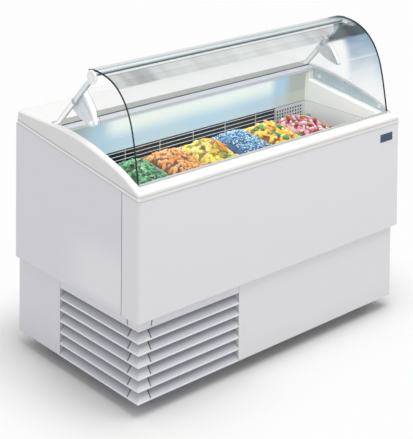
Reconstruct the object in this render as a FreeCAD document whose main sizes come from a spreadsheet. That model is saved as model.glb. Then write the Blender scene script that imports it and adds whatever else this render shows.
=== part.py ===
import FreeCAD, Part
import math
import os
import Sketcher
from FreeCAD import Placement, Rotation, Vector

# Scooping (ice-cream) display freezer: cabinet on castors, well with six pans,
# curved front glass and a tilting flap.
# Frame: origin on the floor at the centre of the footprint, +X along the
# length to the right, -Y towards the customer side (front), +Z up.  mm.

os.makedirs("parts", exist_ok=True)
doc = FreeCAD.newDocument("display_freezer")

DIMS = {
    # overall body
    "body_len": 1310, "body_dep": 684, "panel_set": 1.4, "skin_th": 1.5, "body_bot": 325,
    "seam_front": 720, "seam_rear": 812, "top_deck": 858, "wrap_len": 84, "corner_rad": 13,
    "band_tall": 13,
    # plinth and louvres
    "plinth_inset": 18, "plinth_bot": 50, "louvre_x": -184, "louvre_y": 97, "louvre_top": 290,
    "slat_pitch": 40, "slat_deep": 26, "corner_leg": 55,
    # opening
    "open_x": 631, "rail_in": -294, "ledge_y": 113, "deck_front": 150, "trim_x": 616,
    "liner_x": 601, "liner_bot": 713, "line_front": 750, "line_rear": 808,
    # tank
    "tank_x": 600, "tank_front": -291, "tank_rear": 265, "tank_floor": 400, "tank_top": 712,
    # pans
    "pan_len": 360, "pan_wid": 164, "pan_pitch": 166, "pan_rim": 668, "pan_deep": 120,
    "pan_mid": -105, "rail_tall": 10,
    # glass, tube, struts and flap
    "glass_len": 1248, "glass_th": 6, "tube_y": -66, "tube_z": 1071, "tube_rad": 9.5,
    "tube_wall": 1.8, "tube_half": 621, "cap_rad": 25, "eye_y": -72, "eye_z": 1063,
    "eye_rad": 19, "strut_in": 626, "strut_th": 8, "strut_wid": 18, "foot_y": 118,
    "foot_z": 862, "pin_rad": 4.5, "flap_y": 30, "flap_z": 955.3, "flap_pin": 4,
    "flap_half": 595, "arm_in": 617.5, "arm_th": 4,
    # castors
    "wheel_rad": 25, "wheel_wid": 20, "castor_x": 555, "castor_y": 245, "trail_len": 18,
    "axle_rad": 4, "base_z": 70,
    # machine compartment and lamp
    "comp_x": -300, "comp_y": 40, "fan_rad": 88, "fan_x": -528, "fan_y": -90, "fan_z": 186,
    "lamp_half": 455, "lamp_rad": 8,
    # running clearance on a radius
    "clear_run": 0.05,
}
dims = doc.addObject("Spreadsheet::Sheet", "dims")
dims.Label = "dims"
for row, (name, value) in enumerate(DIMS.items(), 1):
    dims.set(f"A{row}", name)
    dims.set(f"B{row}", str(value))
    dims.setAlias(f"B{row}", name)
doc.recompute()

# ---------------------------------------------------------------- expressions
# A size is a number or a text such as "$body_len/2", where $name is a sheet alias.
OPERATE = {"+": lambda a, b: a + b, "-": lambda a, b: a - b,
           "*": lambda a, b: a * b, "/": lambda a, b: a / b}


def sheet_expr(size):
    return str(size).replace("$", "dims.")


def num(size):
    """the present value of a size; understands + - * / and brackets"""
    text = str(size).replace(" ", "")
    for alias in sorted(DIMS, key=len, reverse=True):
        text = text.replace("$" + alias, f"({DIMS[alias]})")
    pos = 0

    def atom():
        nonlocal pos
        if text[pos] == "(":
            pos += 1
            result = total()
            pos += 1
            return result
        if text[pos] == "-":
            pos += 1
            return -atom()
        start = pos
        while pos < len(text) and text[pos] in "0123456789.":
            pos += 1
        return float(text[start:pos])

    def chain(operand, signs):
        nonlocal pos
        result = operand()
        while pos < len(text) and text[pos] in signs:
            sign = text[pos]
            pos += 1
            result = OPERATE[sign](result, operand())
        return result

    def total():
        return chain(lambda: chain(atom, "*/"), "+-")

    return total()


def bind(obj, prop, size):
    obj.setExpression(prop, sheet_expr(size))


def place(obj, x, y, z):
    for axis, size in zip("xyz", (x, y, z)):
        bind(obj, "Placement.Base." + axis, size)


def at_side(side, inner, width):
    """x where a strip starts, its inner face `inner` from the centre; side is -1 left, 1 right"""
    return f"({inner})" if side > 0 else f"-({inner})-({width})"


# ---------------------------------------------------------------- solids
PARTS = []          # (file name, object)


def finish(obj, label):
    obj.Label = label
    PARTS.append((label, obj))


def new_object(kind):
    return doc.addObject(kind, kind.split("::")[1])


def box(x0, x1, y0, y1, z0, z1):
    obj = new_object("Part::Box")
    bind(obj, "Length", f"({x1}) - ({x0})")
    bind(obj, "Width", f"({y1}) - ({y0})")
    bind(obj, "Height", f"({z1}) - ({z0})")
    place(obj, x0, y0, z0)
    return obj


def side_box(side, inner, width, y0, y1, z0, z1):
    start = at_side(side, inner, width)
    return box(start, f"{start}+({width})", y0, y1, z0, z1)


AXIS_TURN = {"x": Rotation(Vector(0, 1, 0), 90), "y": Rotation(Vector(1, 0, 0), -90),
             "z": Rotation()}


def cyl(axis, x, y, z, rad, length):
    """cylinder starting at (x, y, z) and running along +axis"""
    obj = new_object("Part::Cylinder")
    bind(obj, "Radius", rad)
    bind(obj, "Height", length)
    obj.Placement = Placement(Vector(), AXIS_TURN[axis])
    place(obj, x, y, z)
    return obj


def side_cyl(side, inner, y, z, rad, width):
    return cyl("x", at_side(side, inner, width), y, z, rad, width)


def cut(base, tool):
    obj = new_object("Part::Cut")
    obj.Base = base
    obj.Tool = tool
    return obj


def fuse(*objs):
    obj = new_object("Part::MultiFuse")
    obj.Shapes = list(objs)
    return obj


def group(*objs):
    """several separate solids kept in one piece"""
    obj = new_object("Part::Compound")
    obj.Links = list(objs)
    return obj


# ---------------------------------------------------------------- choosing edges
def mid(edge):
    first, last = edge.ParameterRange
    return edge.valueAt((first + last) / 2.0)


def along(edge):
    first, last = edge.ParameterRange
    direction = edge.valueAt(last) - edge.valueAt(first)
    if direction.Length > 1e-9:
        direction.normalize()
    return direction


def vertical(edge):
    return abs(along(edge).z) > 0.999


def near(value, target, tol=0.05):
    return abs(value - target) < tol


def at_corner(x, y):
    """picks vertical edges at (+-x, y)"""
    return lambda e: vertical(e) and near(abs(mid(e).x), num(x)) and near(mid(e).y, num(y))


def picked(shape, pick, owner):
    found = [i for i, edge in enumerate(shape.Edges, 1) if pick(edge)]
    if not found:
        raise RuntimeError("no edge to round in " + owner)
    return found


def round_edges(base, pick, rad):
    """fillet of a Part object"""
    doc.recompute()
    obj = new_object("Part::Fillet")
    obj.Base = base
    obj.Edges = [(i, rad, rad) for i in picked(base.Shape, pick, base.Name)]
    return obj


# ---------------------------------------------------------------- bodies
# XY sketches pad along +Z.  YZ: sketch x is +Y, sketch y is +Z, pads along +X.
# XZ: sketch x is +X, sketch y is +Z, pads along -Y, so offset -n lies at y = +n.
PLANE_ROLE = {"xy": "XY_Plane", "xz": "XZ_Plane", "yz": "YZ_Plane"}


def new_body(name):
    return doc.addObject("PartDesign::Body", name)


def sketch(body, plane, offset=0):
    sk = body.newObject("Sketcher::SketchObject", "Sketch")
    support = next(f for f in body.Origin.OriginFeatures if f.Role == PLANE_ROLE[plane])
    sk.AttachmentSupport = [(support, "")]
    sk.MapMode = "FlatFace"
    if offset != 0:
        bind(sk, "AttachmentOffset.Base.z", offset)
    return sk


def add_lines(sk, points):
    count = len(points)
    for i in range(count):
        sk.addGeometry(Part.LineSegment(points[i], points[(i + 1) % count]), False)


def polygon(sk, corners):
    """closed polygon, each corner held to the origin by two sheet-driven distances"""
    base = sk.GeometryCount
    count = len(corners)
    add_lines(sk, [Vector(num(a), num(b), 0) for a, b in corners])
    for i in range(count):
        sk.addConstraint(Sketcher.Constraint("Coincident", base + i, 2, base + (i + 1) % count, 1))
    for i, corner in enumerate(corners):
        for kind, size, axis in zip(("DistanceX", "DistanceY"), corner, (-2, -1)):
            value = num(size)
            point, origin = (base + i, 1), (-1, 1)
            if abs(value) < 1e-9:
                sk.addConstraint(Sketcher.Constraint("PointOnObject", *point, axis))
                continue
            # a distance has to be positive, so its two ends swap on the negative side
            if value > 0:
                held = Sketcher.Constraint(kind, *origin, *point, value)
            else:
                held = Sketcher.Constraint(kind, *point, *origin, -value)
                size = f"-({size})"
            index = sk.addConstraint(held)
            if "$" in str(size):
                bind(sk, f"Constraints[{index}]", size)
    return sk


def rect(x0, x1, y0, y1):
    return [(x0, y0), (x1, y0), (x1, y1), (x0, y1)]


def curve_loop(sk, curves):
    """closed loop of fixed splines joined by lines; a curve of one point is a corner"""
    for i, curve in enumerate(curves):
        points = [Vector(a, b, 0) for a, b in curve]
        parts = []
        if len(points) > 1:
            spline = Part.BSplineCurve()
            spline.interpolate(points)
            parts.append(spline)
        following = curves[(i + 1) % len(curves)][0]
        parts.append(Part.LineSegment(points[-1], Vector(*following, 0)))
        for part in parts:
            sk.addConstraint(Sketcher.Constraint("Block", sk.addGeometry(part, False)))
    return sk


def offset_points(points, distance):
    """points moved square to the spline through them, to its right for a positive distance"""
    spline = Part.BSplineCurve()
    spline.interpolate([Vector(a, b, 0) for a, b in points])
    moved = []
    for a, b in points:
        tangent = spline.tangent(spline.parameter(Vector(a, b, 0)))[0]
        moved.append((a + tangent.y * distance, b - tangent.x * distance))
    return moved


def extrude(kind, body, sk, length, middle, rev, taper):
    feature = body.newObject("PartDesign::" + kind, kind)
    feature.Profile = sk
    bind(feature, "Length", length)
    if middle:
        # guards against versions that replaced Midplane with SideType
        try:
            feature.Midplane = True
        except Exception:
            feature.SideType = "Symmetric"
    feature.Reversed = rev
    feature.TaperAngle = taper
    body.Tip = feature


def pad(body, sk, length, middle=False, rev=False, taper=0):
    extrude("Pad", body, sk, length, middle, rev, taper)


def pocket(body, sk, length, middle=False, rev=False, taper=0):
    """pocket; rev cuts along the sketch normal"""
    doc.recompute()
    before = body.Shape.Volume
    extrude("Pocket", body, sk, length, middle, rev, taper)
    doc.recompute()
    if not body.Shape.Volume < before - 1e-6:
        raise RuntimeError("pocket cut nothing in " + body.Label)


def prism(name, plane, offset, corners, length, middle=False):
    body = new_body(name)
    pad(body, polygon(sketch(body, plane, offset), corners), length, middle)
    return body


def curved_prism(name, plane, offset, curves, length, middle=False):
    body = new_body(name)
    pad(body, curve_loop(sketch(body, plane, offset), curves), length, middle)
    return body


def carve(body, plane, offset, corners, length, **how):
    pocket(body, polygon(sketch(body, plane, offset), corners), length, **how)


def carve_grid(body, plane, offset, xs, ys, width, height, depth):
    """many fixed rectangular holes; xs and ys are their low corners"""
    sk = sketch(body, plane, offset)
    for x in xs:
        for y in ys:
            base = sk.GeometryCount
            add_lines(sk, [Vector(*c, 0) for c in rect(x, x + width, y, y + height)])
            for i in range(4):
                sk.addConstraint(Sketcher.Constraint("Block", base + i))
    pocket(body, sk, depth, rev=True)


def revolve(name, plane, corners):
    """section turned about the sketch's own y axis"""
    body = new_body(name)
    sk = polygon(sketch(body, plane), corners)
    feature = body.newObject("PartDesign::Revolution", "Revolution")
    feature.Profile = sk
    feature.ReferenceAxis = (sk, ["V_Axis"])
    feature.Angle = 360
    body.Tip = feature
    return body


def fillet(body, pick, rad):
    doc.recompute()
    base = body.Tip
    names = [f"Edge{i}" for i in picked(base.Shape, pick, body.Label)]
    feature = body.newObject("PartDesign::Fillet", "Fillet")
    feature.Base = (base, names)
    bind(feature, "Radius", rad)
    body.Tip = feature


# ================================================================ shared places
HALF_DEP = "$body_dep/2"
PANEL_X = "($body_len/2-$panel_set)"       # outer faces of the panels
PANEL_Y = "($body_dep/2-$panel_set)"
PANEL_IN_X = f"({PANEL_X}-$skin_th)"       # inner faces of the panels
PANEL_IN_Y = f"({PANEL_Y}-$skin_th)"
WRAP_END = f"-({PANEL_Y}-$wrap_len)"       # where the front panel ends on the sides
PLINTH_X = "($body_len/2-$plinth_inset)"   # outer faces of the plinth
PLINTH_Y = "($body_dep/2-$plinth_inset)"
PLINTH_IN_X = f"({PLINTH_X}-$skin_th)"
PLINTH_IN_Y = f"({PLINTH_Y}-$skin_th)"
PLINTH_WRAP = f"-({PLINTH_Y}-66)"          # where the plinth front ends on the right side
PLINTH_TOP = "$body_bot-1"
LINER_REAR = "$ledge_y-9"
BASE_TOP = "$base_z+3"
SEAM_GAP = -0.8                            # panels stop this far below the seam


def slope(y, rise=0):
    """size: height of the sloping seam at depth y"""
    return f"($seam_front + ({y} + $body_dep/2)*($seam_rear-$seam_front)/$body_dep + ({rise}))"


def seam_at(y):
    """number: height of the sloping seam at depth y"""
    climb = (DIMS["seam_rear"] - DIMS["seam_front"]) / DIMS["body_dep"]
    return DIMS["seam_front"] + (y + DIMS["body_dep"] / 2) * climb


# ================================================================ outer panels
def front_panel():
    """wraps round both front corners"""
    body = prism("front_panel", "xy", "$body_bot", [
        (f"-{PANEL_X}", f"-{PANEL_Y}"), (PANEL_X, f"-{PANEL_Y}"),
        (PANEL_X, WRAP_END), (PANEL_IN_X, WRAP_END),
        (PANEL_IN_X, f"-{PANEL_IN_Y}"), (f"-{PANEL_IN_X}", f"-{PANEL_IN_Y}"),
        (f"-{PANEL_IN_X}", WRAP_END), (f"-{PANEL_X}", WRAP_END)], 420)
    fillet(body, at_corner(PANEL_X, f"-{PANEL_Y}"), "$corner_rad")
    fillet(body, at_corner(PANEL_IN_X, f"-{PANEL_IN_Y}"), "$corner_rad-$skin_th")
    # trim the top to the seam
    carve(body, "yz", 0, [(-345, slope(-345, SEAM_GAP)), (-240, slope(-240, SEAM_GAP)),
                          (-240, 760), (-345, 760)], 1400, middle=True)
    finish(body, "front_panel")


def side_panels():
    front = f"({WRAP_END}+1)"
    for side, label in ((-1, "left_side_panel"), (1, "right_side_panel")):
        finish(prism(label, "yz", at_side(side, PANEL_IN_X, "$skin_th"), [
            (front, "$body_bot"), (PANEL_Y, "$body_bot"),
            (PANEL_Y, slope(PANEL_Y, SEAM_GAP)), (front, slope(front, SEAM_GAP))],
            "$skin_th"), label)


def rear_panel():
    finish(box(f"-{PANEL_IN_X}+0.2", f"{PANEL_IN_X}-0.2", PANEL_IN_Y, PANEL_Y,
               "$body_bot", "$seam_rear-2"), "rear_panel")


# ================================================================ top frame
TOP = DIMS["top_deck"]
# (y, z) of the arch crest, from the deck forwards
CREST = [(150, TOP), (130, 857.9), (110, 857.4), (77, 855.8), (25, 851.5), (-27, 845),
         (-77, 836.5), (-127, 825), (-176, 812.5), (-224, 798.5), (-262, 784.5), (-290, 771.5),
         (-303, 765), (-320, 756), (-340.6, 745.4)]


def frame_moulding():
    face_x, face_y = num(PANEL_X), num(PANEL_Y)
    body = curved_prism("top_frame", "yz", 0, [
        [(-face_y, seam_at(-face_y))], [(face_y, seam_at(face_y))], [(face_y, TOP)], CREST],
        "$body_len-2*$panel_set", middle=True)
    fillet(body, lambda e: vertical(e) and e.Length > 20 and near(abs(mid(e).x), face_x), 14)

    def upper_outline(edge):
        point = mid(edge)
        x, y = abs(point.x), abs(point.y)
        outer = near(x, face_x, 0.1) or near(y, face_y, 0.1) or (x > 644 and y > 331)
        return point.z > seam_at(point.y) + 22 and not vertical(edge) and outer

    fillet(body, upper_outline, 12)
    # opening between the side arches and the front rail, then its step into the deck
    carve(body, "xy", 600, rect("-$open_x", "$open_x", "$rail_in", "$ledge_y"), 400, rev=True)
    carve(body, "xy", 600, rect("-$trim_x", "$trim_x", "$ledge_y-3", "$deck_front"), 400, rev=True)
    # the front rail lies a little lower than the ends of the arches
    carve(body, "yz", 0, [(-290, 757), (-290, 800), (-328, 800), (-328, 753)],
          "2*$open_x", middle=True)
    # hollow under the deck
    carve(body, "xy", 700, rect(-640, 640, 162, 328), 154, rev=True)
    return body


def frame_band():
    """lower band of the moulding, proud of the panels all the way round"""
    body = prism("frame_band", "yz", 0, [
        (f"-{HALF_DEP}", slope(f"-{HALF_DEP}")), (HALF_DEP, slope(HALF_DEP)),
        (HALF_DEP, slope(HALF_DEP, "$band_tall")),
        (f"-{HALF_DEP}", slope(f"-{HALF_DEP}", "$band_tall"))], "$body_len", middle=True)
    fillet(body, vertical, 15)
    carve(body, "xy", 600, rect(-640, 640, -327, 327), 400, rev=True)
    half_len, half_dep, tall = DIMS["body_len"] / 2, DIMS["body_dep"] / 2, DIMS["band_tall"]

    def top_edge(edge):
        point, direction = mid(edge), along(edge)
        on_side = (near(abs(point.x), half_len) and abs(direction.y) > 0.9
                   and near(point.z, seam_at(point.y) + tall, 0.5))
        on_front = near(point.y, -half_dep) and point.z > 731 and abs(direction.x) > 0.9
        return on_side or on_front

    fillet(body, top_edge, 1.0)
    return body


def top_frame():
    finish(fuse(frame_moulding(), frame_band()), "top_frame")


# ================================================================ opening trims
def worktop_trim():
    """front strip of the deck, falling towards the well"""
    finish(prism("worktop_trim", "yz", 0, [
        ("$deck_front-0.2", 857.6), ("$ledge_y+1.2", 852.6), ("$ledge_y+1.2", 830),
        ("$ledge_y+3.2", 830), ("$ledge_y+3.2", 850.6), ("$deck_front-0.2", 855.6)],
        "2*$trim_x-0.6", middle=True), "worktop_trim")


def upper_liner():
    """liner round the well with a sloping top, rear corner posts and rear ledge"""
    front = "$rail_in+0.3"
    walls = prism("upper_liner", "yz", 0, [
        (front, "$liner_bot"), (LINER_REAR, "$liner_bot"), (LINER_REAR, "$line_rear"),
        (front, "$line_front")], "2*($open_x-0.4)", middle=True)
    carve(walls, "xy", 700, rect("-$liner_x", "$liner_x", "$tank_front", 300), 300, rev=True)
    fillet(walls, lambda e: near(abs(mid(e).x), DIMS["liner_x"]) and abs(along(e).y) > 0.9
           and mid(e).z > 740, 8)
    posts = [side_box(side, "$liner_x", "$open_x-0.4-$liner_x", 80, LINER_REAR, 790, 848)
             for side in (1, -1)]
    ledge = prism("rear_ledge", "yz", 0, [
        (80, 837), (80, 847), (84, 850), (109.5, 851), (109.5, 848.5), (85, 847.5),
        (82.2, 845.5), (82.2, 837)], "2*($open_x-0.4)", middle=True)
    finish(fuse(walls, *posts, ledge), "upper_liner")


def seal_strips():
    """along the rear of the opening and under the front glass"""
    rear = box("-$open_x+1", "$open_x-1", 110, "$ledge_y-0.2", 846, 853.4)
    front = box("-$glass_len/2", "$glass_len/2", -306, -297, 757.3, 759.6)
    finish(group(rear, front), "seal_strips")


# (y, z) of the top edge of the inner fascias, from the rear forwards
FASCIA_TOP = [(79, 847.6), (60, 847), (25, 843), (-27, 836.5), (-77, 827.5), (-127, 816),
              (-176, 803.5), (-224, 789.5), (-258, 777), (-288, 762.5)]


def above_liner(y):
    """height 2 mm above the sloping top of the liner"""
    return num(f"$line_front + ({y}-$rail_in)*($line_rear-$line_front)"
               f"/({LINER_REAR}-$rail_in) + 2")


def inner_fascias():
    rear_y, front_y = FASCIA_TOP[0][0], FASCIA_TOP[-1][0]
    for side, label in ((-1, "inner_fascia_left"), (1, "inner_fascia_right")):
        finish(curved_prism(label, "yz", at_side(side, "$open_x-3.4", 3), [
            [(front_y, above_liner(front_y))], [(rear_y, above_liner(rear_y))], FASCIA_TOP],
            3), label)


def fascia_buttons():
    finish(group(*[side_cyl(side, "$open_x-6.4", y, z, 7.5, 3)
                   for side in (1, -1) for y, z in ((46, 818), (-262, 769))]),
           "fascia_buttons")


# ================================================================ well
def tank_block(wall, top):
    """the tank's hollow grown by a wall, with rounded upright and floor edges"""
    block = box(f"-$tank_x-{wall}", f"$tank_x+{wall}", f"$tank_front-{wall}",
                f"$tank_rear+{wall}", f"$tank_floor-{wall}", top)
    floor = num(f"$tank_floor-{wall}")
    return round_edges(block, lambda e: vertical(e) or near(mid(e).z, floor, 0.01),
                       20 + num(wall))


def inner_tank():
    finish(cut(tank_block("$skin_th", "$tank_top"), tank_block(0, "$tank_top+40")),
           "inner_tank")


def insulation_foam():
    """foam between the tank and the panels"""
    foam_x, foam_y = f"({PANEL_IN_X}-0.3)", f"({PANEL_IN_Y}-0.3)"
    body = prism("insulation_foam", "yz", 0, [
        (f"-{foam_y}", "$body_bot+2"), (foam_y, "$body_bot+2"),
        (foam_y, slope(foam_y, SEAM_GAP)), (f"-{foam_y}", slope(f"-{foam_y}", SEAM_GAP))],
        f"2*{foam_x}", middle=True)
    fillet(body, lambda e: vertical(e) and mid(e).y < 0, 14)
    # room for the tank, then for the wider liner above it
    carve(body, "xy", 397.8, rect("-$tank_x-2", "$tank_x+2", "$tank_front-2", "$tank_rear+2"),
          600, rev=True)
    carve(body, "xy", 712.4,
          rect("-$open_x-0.5", "$open_x+0.5", "$rail_in-0.5", "$tank_rear+2"), 600, rev=True)
    finish(body, "insulation_foam")


def well_rear_wall():
    """lower panel and the leaning lamp diffuser above it"""
    finish(box("-$liner_x+0.5", "$liner_x-0.5", 101, 104, "$liner_bot+0.5", 761),
           "rear_inner_panel")
    finish(prism("lamp_diffuser", "yz", 0, [(101, 761.5), (104, 761.5), (97, 844), (94, 844)],
                 "2*($liner_x-0.5)", middle=True), "lamp_diffuser")


def lamp_tube():
    y, z = 124, 806
    tube = cyl("x", "-$lamp_half", y, z, "$lamp_rad", "2*$lamp_half")
    caps = [side_cyl(side, "$lamp_half", y, z, "$lamp_rad+1", 12) for side in (-1, 1)]
    finish(fuse(tube, *caps), "lamp_tube")


def evaporator_guard():
    """wire guard and, at its right end, a perforated plate"""
    wire_y = 102.6
    wires = [cyl("x", "-$liner_x+1", wire_y, z, 1.3, "430+$liner_x-1")
             for z in (706, 691.5, 677, 662.5, 648, 620)]
    wires += [cyl("z", x, wire_y, 600, 1.5, 110)
              for x in (-510, -344, -178, -12, 154, 320, 428)]
    plate = prism("perforated_plate", "xz", -103.6, rect(432, "$liner_x-1", 600, 711), 1.5)
    carve_grid(plate, "xz", -104.5, range(440, 576, 15), range(612, 691, 13), 8, 8, 4)
    finish(group(fuse(*wires), plate), "evaporator_guard")


def evaporator_coil():
    body = prism("evaporator_coil", "xz", -200, rect(-585, 420, 585, 706), 82)
    carve_grid(body, "xz", -201, range(-582, 399, 14), [589], 12.4, 113, 70)
    finish(body, "evaporator_coil")


# ================================================================ pans
def pan_rails():
    """bars under the pan rims: front, rear and seven between the pans"""
    heights = ("$pan_rim-2.5-$rail_tall", "$pan_rim-2.5")
    front, rear = "$pan_mid-$pan_len/2", "$pan_mid+$pan_len/2"
    bars = [box("-$tank_x+22", "$tank_x-22", f"{front}-5", f"{front}+8.5", *heights),
            box("-$tank_x+1", "$tank_x-1", f"{rear}-8.5", f"{rear}+5", *heights)]
    for i in range(-3, 4):
        bars.append(box(f"({i})*$pan_pitch-3", f"({i})*$pan_pitch+3",
                        f"{front}-2", f"{rear}+2", *heights))
    finish(fuse(*bars), "pan_rails")


def pan_outline(side_in, end_in):
    """the rim rectangle drawn in at its long sides and its ends"""
    return rect(f"-$pan_wid/2+{side_in}", f"$pan_wid/2-{side_in}",
                f"-$pan_len/2+{end_in}", f"$pan_len/2-{end_in}")


def pans():
    floor = num("$pan_rim-$pan_deep")
    for i in range(6):
        label = f"pan_{i + 1}"
        body = prism(label, "xy", "$pan_rim-2", pan_outline(0, 0), 2)
        fillet(body, vertical, 10)
        pad(body, polygon(sketch(body, "xy", "$pan_rim-1"), pan_outline(9, 10)),
            "$pan_deep-1", rev=True, taper=-3)
        carve(body, "xy", "$pan_rim", pan_outline(10, 11), "$pan_deep-1", taper=-3)
        fillet(body, lambda e: abs(along(e).z) > 0.9 and e.Length > 60, 15.5)
        fillet(body, lambda e: near(mid(e).z, floor, 0.5), 8)
        fillet(body, lambda e: near(mid(e).z, floor + 1, 0.3), 7)
        place(body, f"({i - 2.5})*$pan_pitch", "$pan_mid", 0)
        finish(body, label)


# ================================================================ plinth
def plinth_front_panel():
    """from the louvre to the right corner, which it wraps"""
    louvre_in_x, return_y = "$louvre_x+$skin_th", f"-({PLINTH_Y}-$slat_deep)"
    body = prism("plinth_front_panel", "xy", "$plinth_bot", [
        ("$louvre_x", f"-{PLINTH_Y}"), (PLINTH_X, f"-{PLINTH_Y}"),
        (PLINTH_X, PLINTH_WRAP), (PLINTH_IN_X, PLINTH_WRAP),
        (PLINTH_IN_X, f"-{PLINTH_IN_Y}"), (louvre_in_x, f"-{PLINTH_IN_Y}"),
        (louvre_in_x, return_y), ("$louvre_x", return_y)], f"{PLINTH_TOP}-$plinth_bot")
    fillet(body, at_corner(PLINTH_X, f"-{PLINTH_Y}"), 12)
    fillet(body, at_corner(PLINTH_IN_X, f"-{PLINTH_IN_Y}"), 10.5)
    finish(body, "plinth_front_panel")


def plinth_side_panels():
    heights = ("$plinth_bot", PLINTH_TOP)
    finish(box(PLINTH_IN_X, PLINTH_X, f"{PLINTH_WRAP}+1", PANEL_Y, *heights),
           "plinth_right_panel")
    left = f"-{PLINTH_X}"
    sheet = box(left, f"{left}+$skin_th", "$louvre_y", PANEL_Y, *heights)
    front_return = box(left, f"{left}+$slat_deep", "$louvre_y", "$louvre_y+$skin_th", *heights)
    finish(fuse(sheet, front_return), "plinth_left_panel")


def rear_service_grille():
    behind = f"-{PANEL_Y}-1"
    body = prism("rear_service_grille", "xz", f"-{PANEL_Y}",
                 rect(f"-{PLINTH_IN_X}+0.3", f"{PLINTH_IN_X}-0.3", "$plinth_bot", PLINTH_TOP),
                 "$skin_th")
    carve_grid(body, "xz", behind, range(-560, 91, 130), range(90, 267, 22), 110, 8, 4)
    # collar round the control window
    pad(body, polygon(sketch(body, "xz", f"-{PANEL_Y}+0.5"), rect(308, 452, 203, 272)), 19)
    carve(body, "xz", behind, rect(310, 450, 205, 270), 40, rev=True)
    finish(body, "rear_service_grille")


# ================================================================ louvres
SLAT_COUNT = 6
LIP = 6.0           # height of a slat's upright lip
SLAT_RISE = 25      # height the blade climbs inwards
SLAT_END = 2.8      # upright thickness of the blade at its inner end
SLAT_TH = 1.8
BAND_TOP = 323.5    # top of the plain band above the slats


def louvre(name, plane, offset, run):
    """six slats and a band, drawn inwards from the plinth face and run along it"""
    face = -num(PLINTH_Y if plane == "yz" else PLINTH_X)
    depth = DIMS["slat_deep"] - 1
    body = new_body(name)
    sk = sketch(body, plane, offset)
    for i in range(SLAT_COUNT):
        bottom = DIMS["plinth_bot"] + DIMS["slat_pitch"] * i
        knee = bottom + LIP
        polygon(sk, [(face, bottom), (face, knee), (face + depth, knee + SLAT_RISE),
                     (face + depth, knee + SLAT_RISE - SLAT_END),
                     (face + SLAT_TH, knee - SLAT_TH), (face + SLAT_TH, bottom)])
    polygon(sk, rect(face, face + SLAT_TH, "$louvre_top", BAND_TOP))
    pad(body, sk, run)
    return body


def louvre_ribs(plane, starts):
    """upright ribs behind the slats, each with a short arm forward to the band"""
    ribs = []
    face = PLINTH_Y if plane == "yz" else PLINTH_X
    for start in starts:
        for depth, bottom in ((22, 56), (1, 308)):
            run = (start, f"{start}+2")
            across = (f"-{face}+{depth}", f"-{face}+25.5")
            sides = run + across if plane == "yz" else across + run
            ribs.append(box(*sides, bottom, 322))
    return ribs


def louvre_front():
    slats = louvre("louvre_front", "yz", f"-{PLINTH_X}+$corner_leg+0.6",
                   f"$louvre_x-1.5+{PLINTH_X}-$corner_leg-0.6")
    finish(fuse(slats, *louvre_ribs("yz", (-579, -480, -385, -290, -190))), "louvre_front")


def louvre_side():
    """on the left side"""
    slats = louvre("louvre_side", "xz", "-($louvre_y-1.5)",
                   f"$louvre_y-1.5+{PLINTH_Y}-$corner_leg-0.6")
    finish(fuse(slats, *louvre_ribs("xz", (-266, -175, -85, 5, 90))), "louvre_side")


def louvre_corner():
    """front and side sections, mitred on the diagonal of the front left corner"""
    front = louvre("corner_a", "yz", f"-{PLINTH_X}", "$corner_leg")
    side = louvre("corner_b", "xz", f"{PLINTH_Y}-$corner_leg", "$corner_leg")
    near_end, far_end = (f"-{PLINTH_X}", f"-{PLINTH_Y}"), (f"-{PLINTH_X}+70", f"-{PLINTH_Y}+70")
    left_half = prism("mitre_a", "xy", 40, [near_end, (near_end[0], far_end[1]), far_end], 300)
    front_half = prism("mitre_b", "xy", 40, [near_end, (far_end[0], near_end[1]), far_end], 300)
    finish(fuse(cut(front, left_half), cut(side, front_half),
                *louvre_ribs("yz", [f"-{PLINTH_X}+$corner_leg-3"]),
                *louvre_ribs("xz", [f"-{PLINTH_Y}+$corner_leg-3"])), "louvre_corner")


# ================================================================ base and castors
def base_frame():
    """floor plate, four posts and the upper ring that carries the cabinet"""
    left, right, front, rear, beam = -604, 630, -292, 314, 30
    ring_bot = 296
    parts = [box(f"-{PLINTH_X}+30", f"{PLINTH_X}-4", f"-{PLINTH_Y}+30", f"{PLINTH_Y}-4",
                 "$base_z", BASE_TOP)]
    for x, y in ((left, rear - beam), (right - beam, rear - beam),
                 (right - beam, front), (left, front)):
        parts.append(box(x, x + beam, y, y + beam, "$base_z+2", ring_bot))
    parts.append(cut(box(left, right, front, rear, ring_bot, "$body_bot+1"),
                     box(left + beam, right - beam, front + beam, rear - beam,
                         ring_bot - 6, "$body_bot+6")))
    finish(fuse(*parts), "base_frame")


def castor_plate(x, y):
    return box(f"{x}-30", f"{x}+30", f"{y}-30", f"{y}+30", "$base_z-3", "$base_z")


def castor_brackets():
    brackets = []
    for side in (-1, 1):
        x = f"({side})*$castor_x"
        # front, swivelling: plate, race, king pin and its head
        y = "-$castor_y"
        brackets.append(fuse(castor_plate(x, y), cyl("z", x, y, 61, 17, 7),
                             cyl("z", x, y, 51, 5, 12), cyl("z", x, y, 50.5, 8, 2.5)))
        # rear, fixed: plate, two cheeks and the axle
        y = "$castor_y"
        cheeks = [box(f"{x}{x0}", f"{x}{x1}", f"{y}-16", f"{y}+16", 17, "$base_z-2")
                  for x0, x1 in (("-15", "-12.5"), ("+12.5", "+15"))]
        axle = cyl("x", f"{x}-18", y, "$wheel_rad", "$axle_rad", 36)
        brackets.append(fuse(castor_plate(x, y), *cheeks, axle))
    finish(group(*brackets), "castor_brackets")


def front_axle_x(side):
    return f"({side})*($castor_x-$trail_len)"


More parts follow.
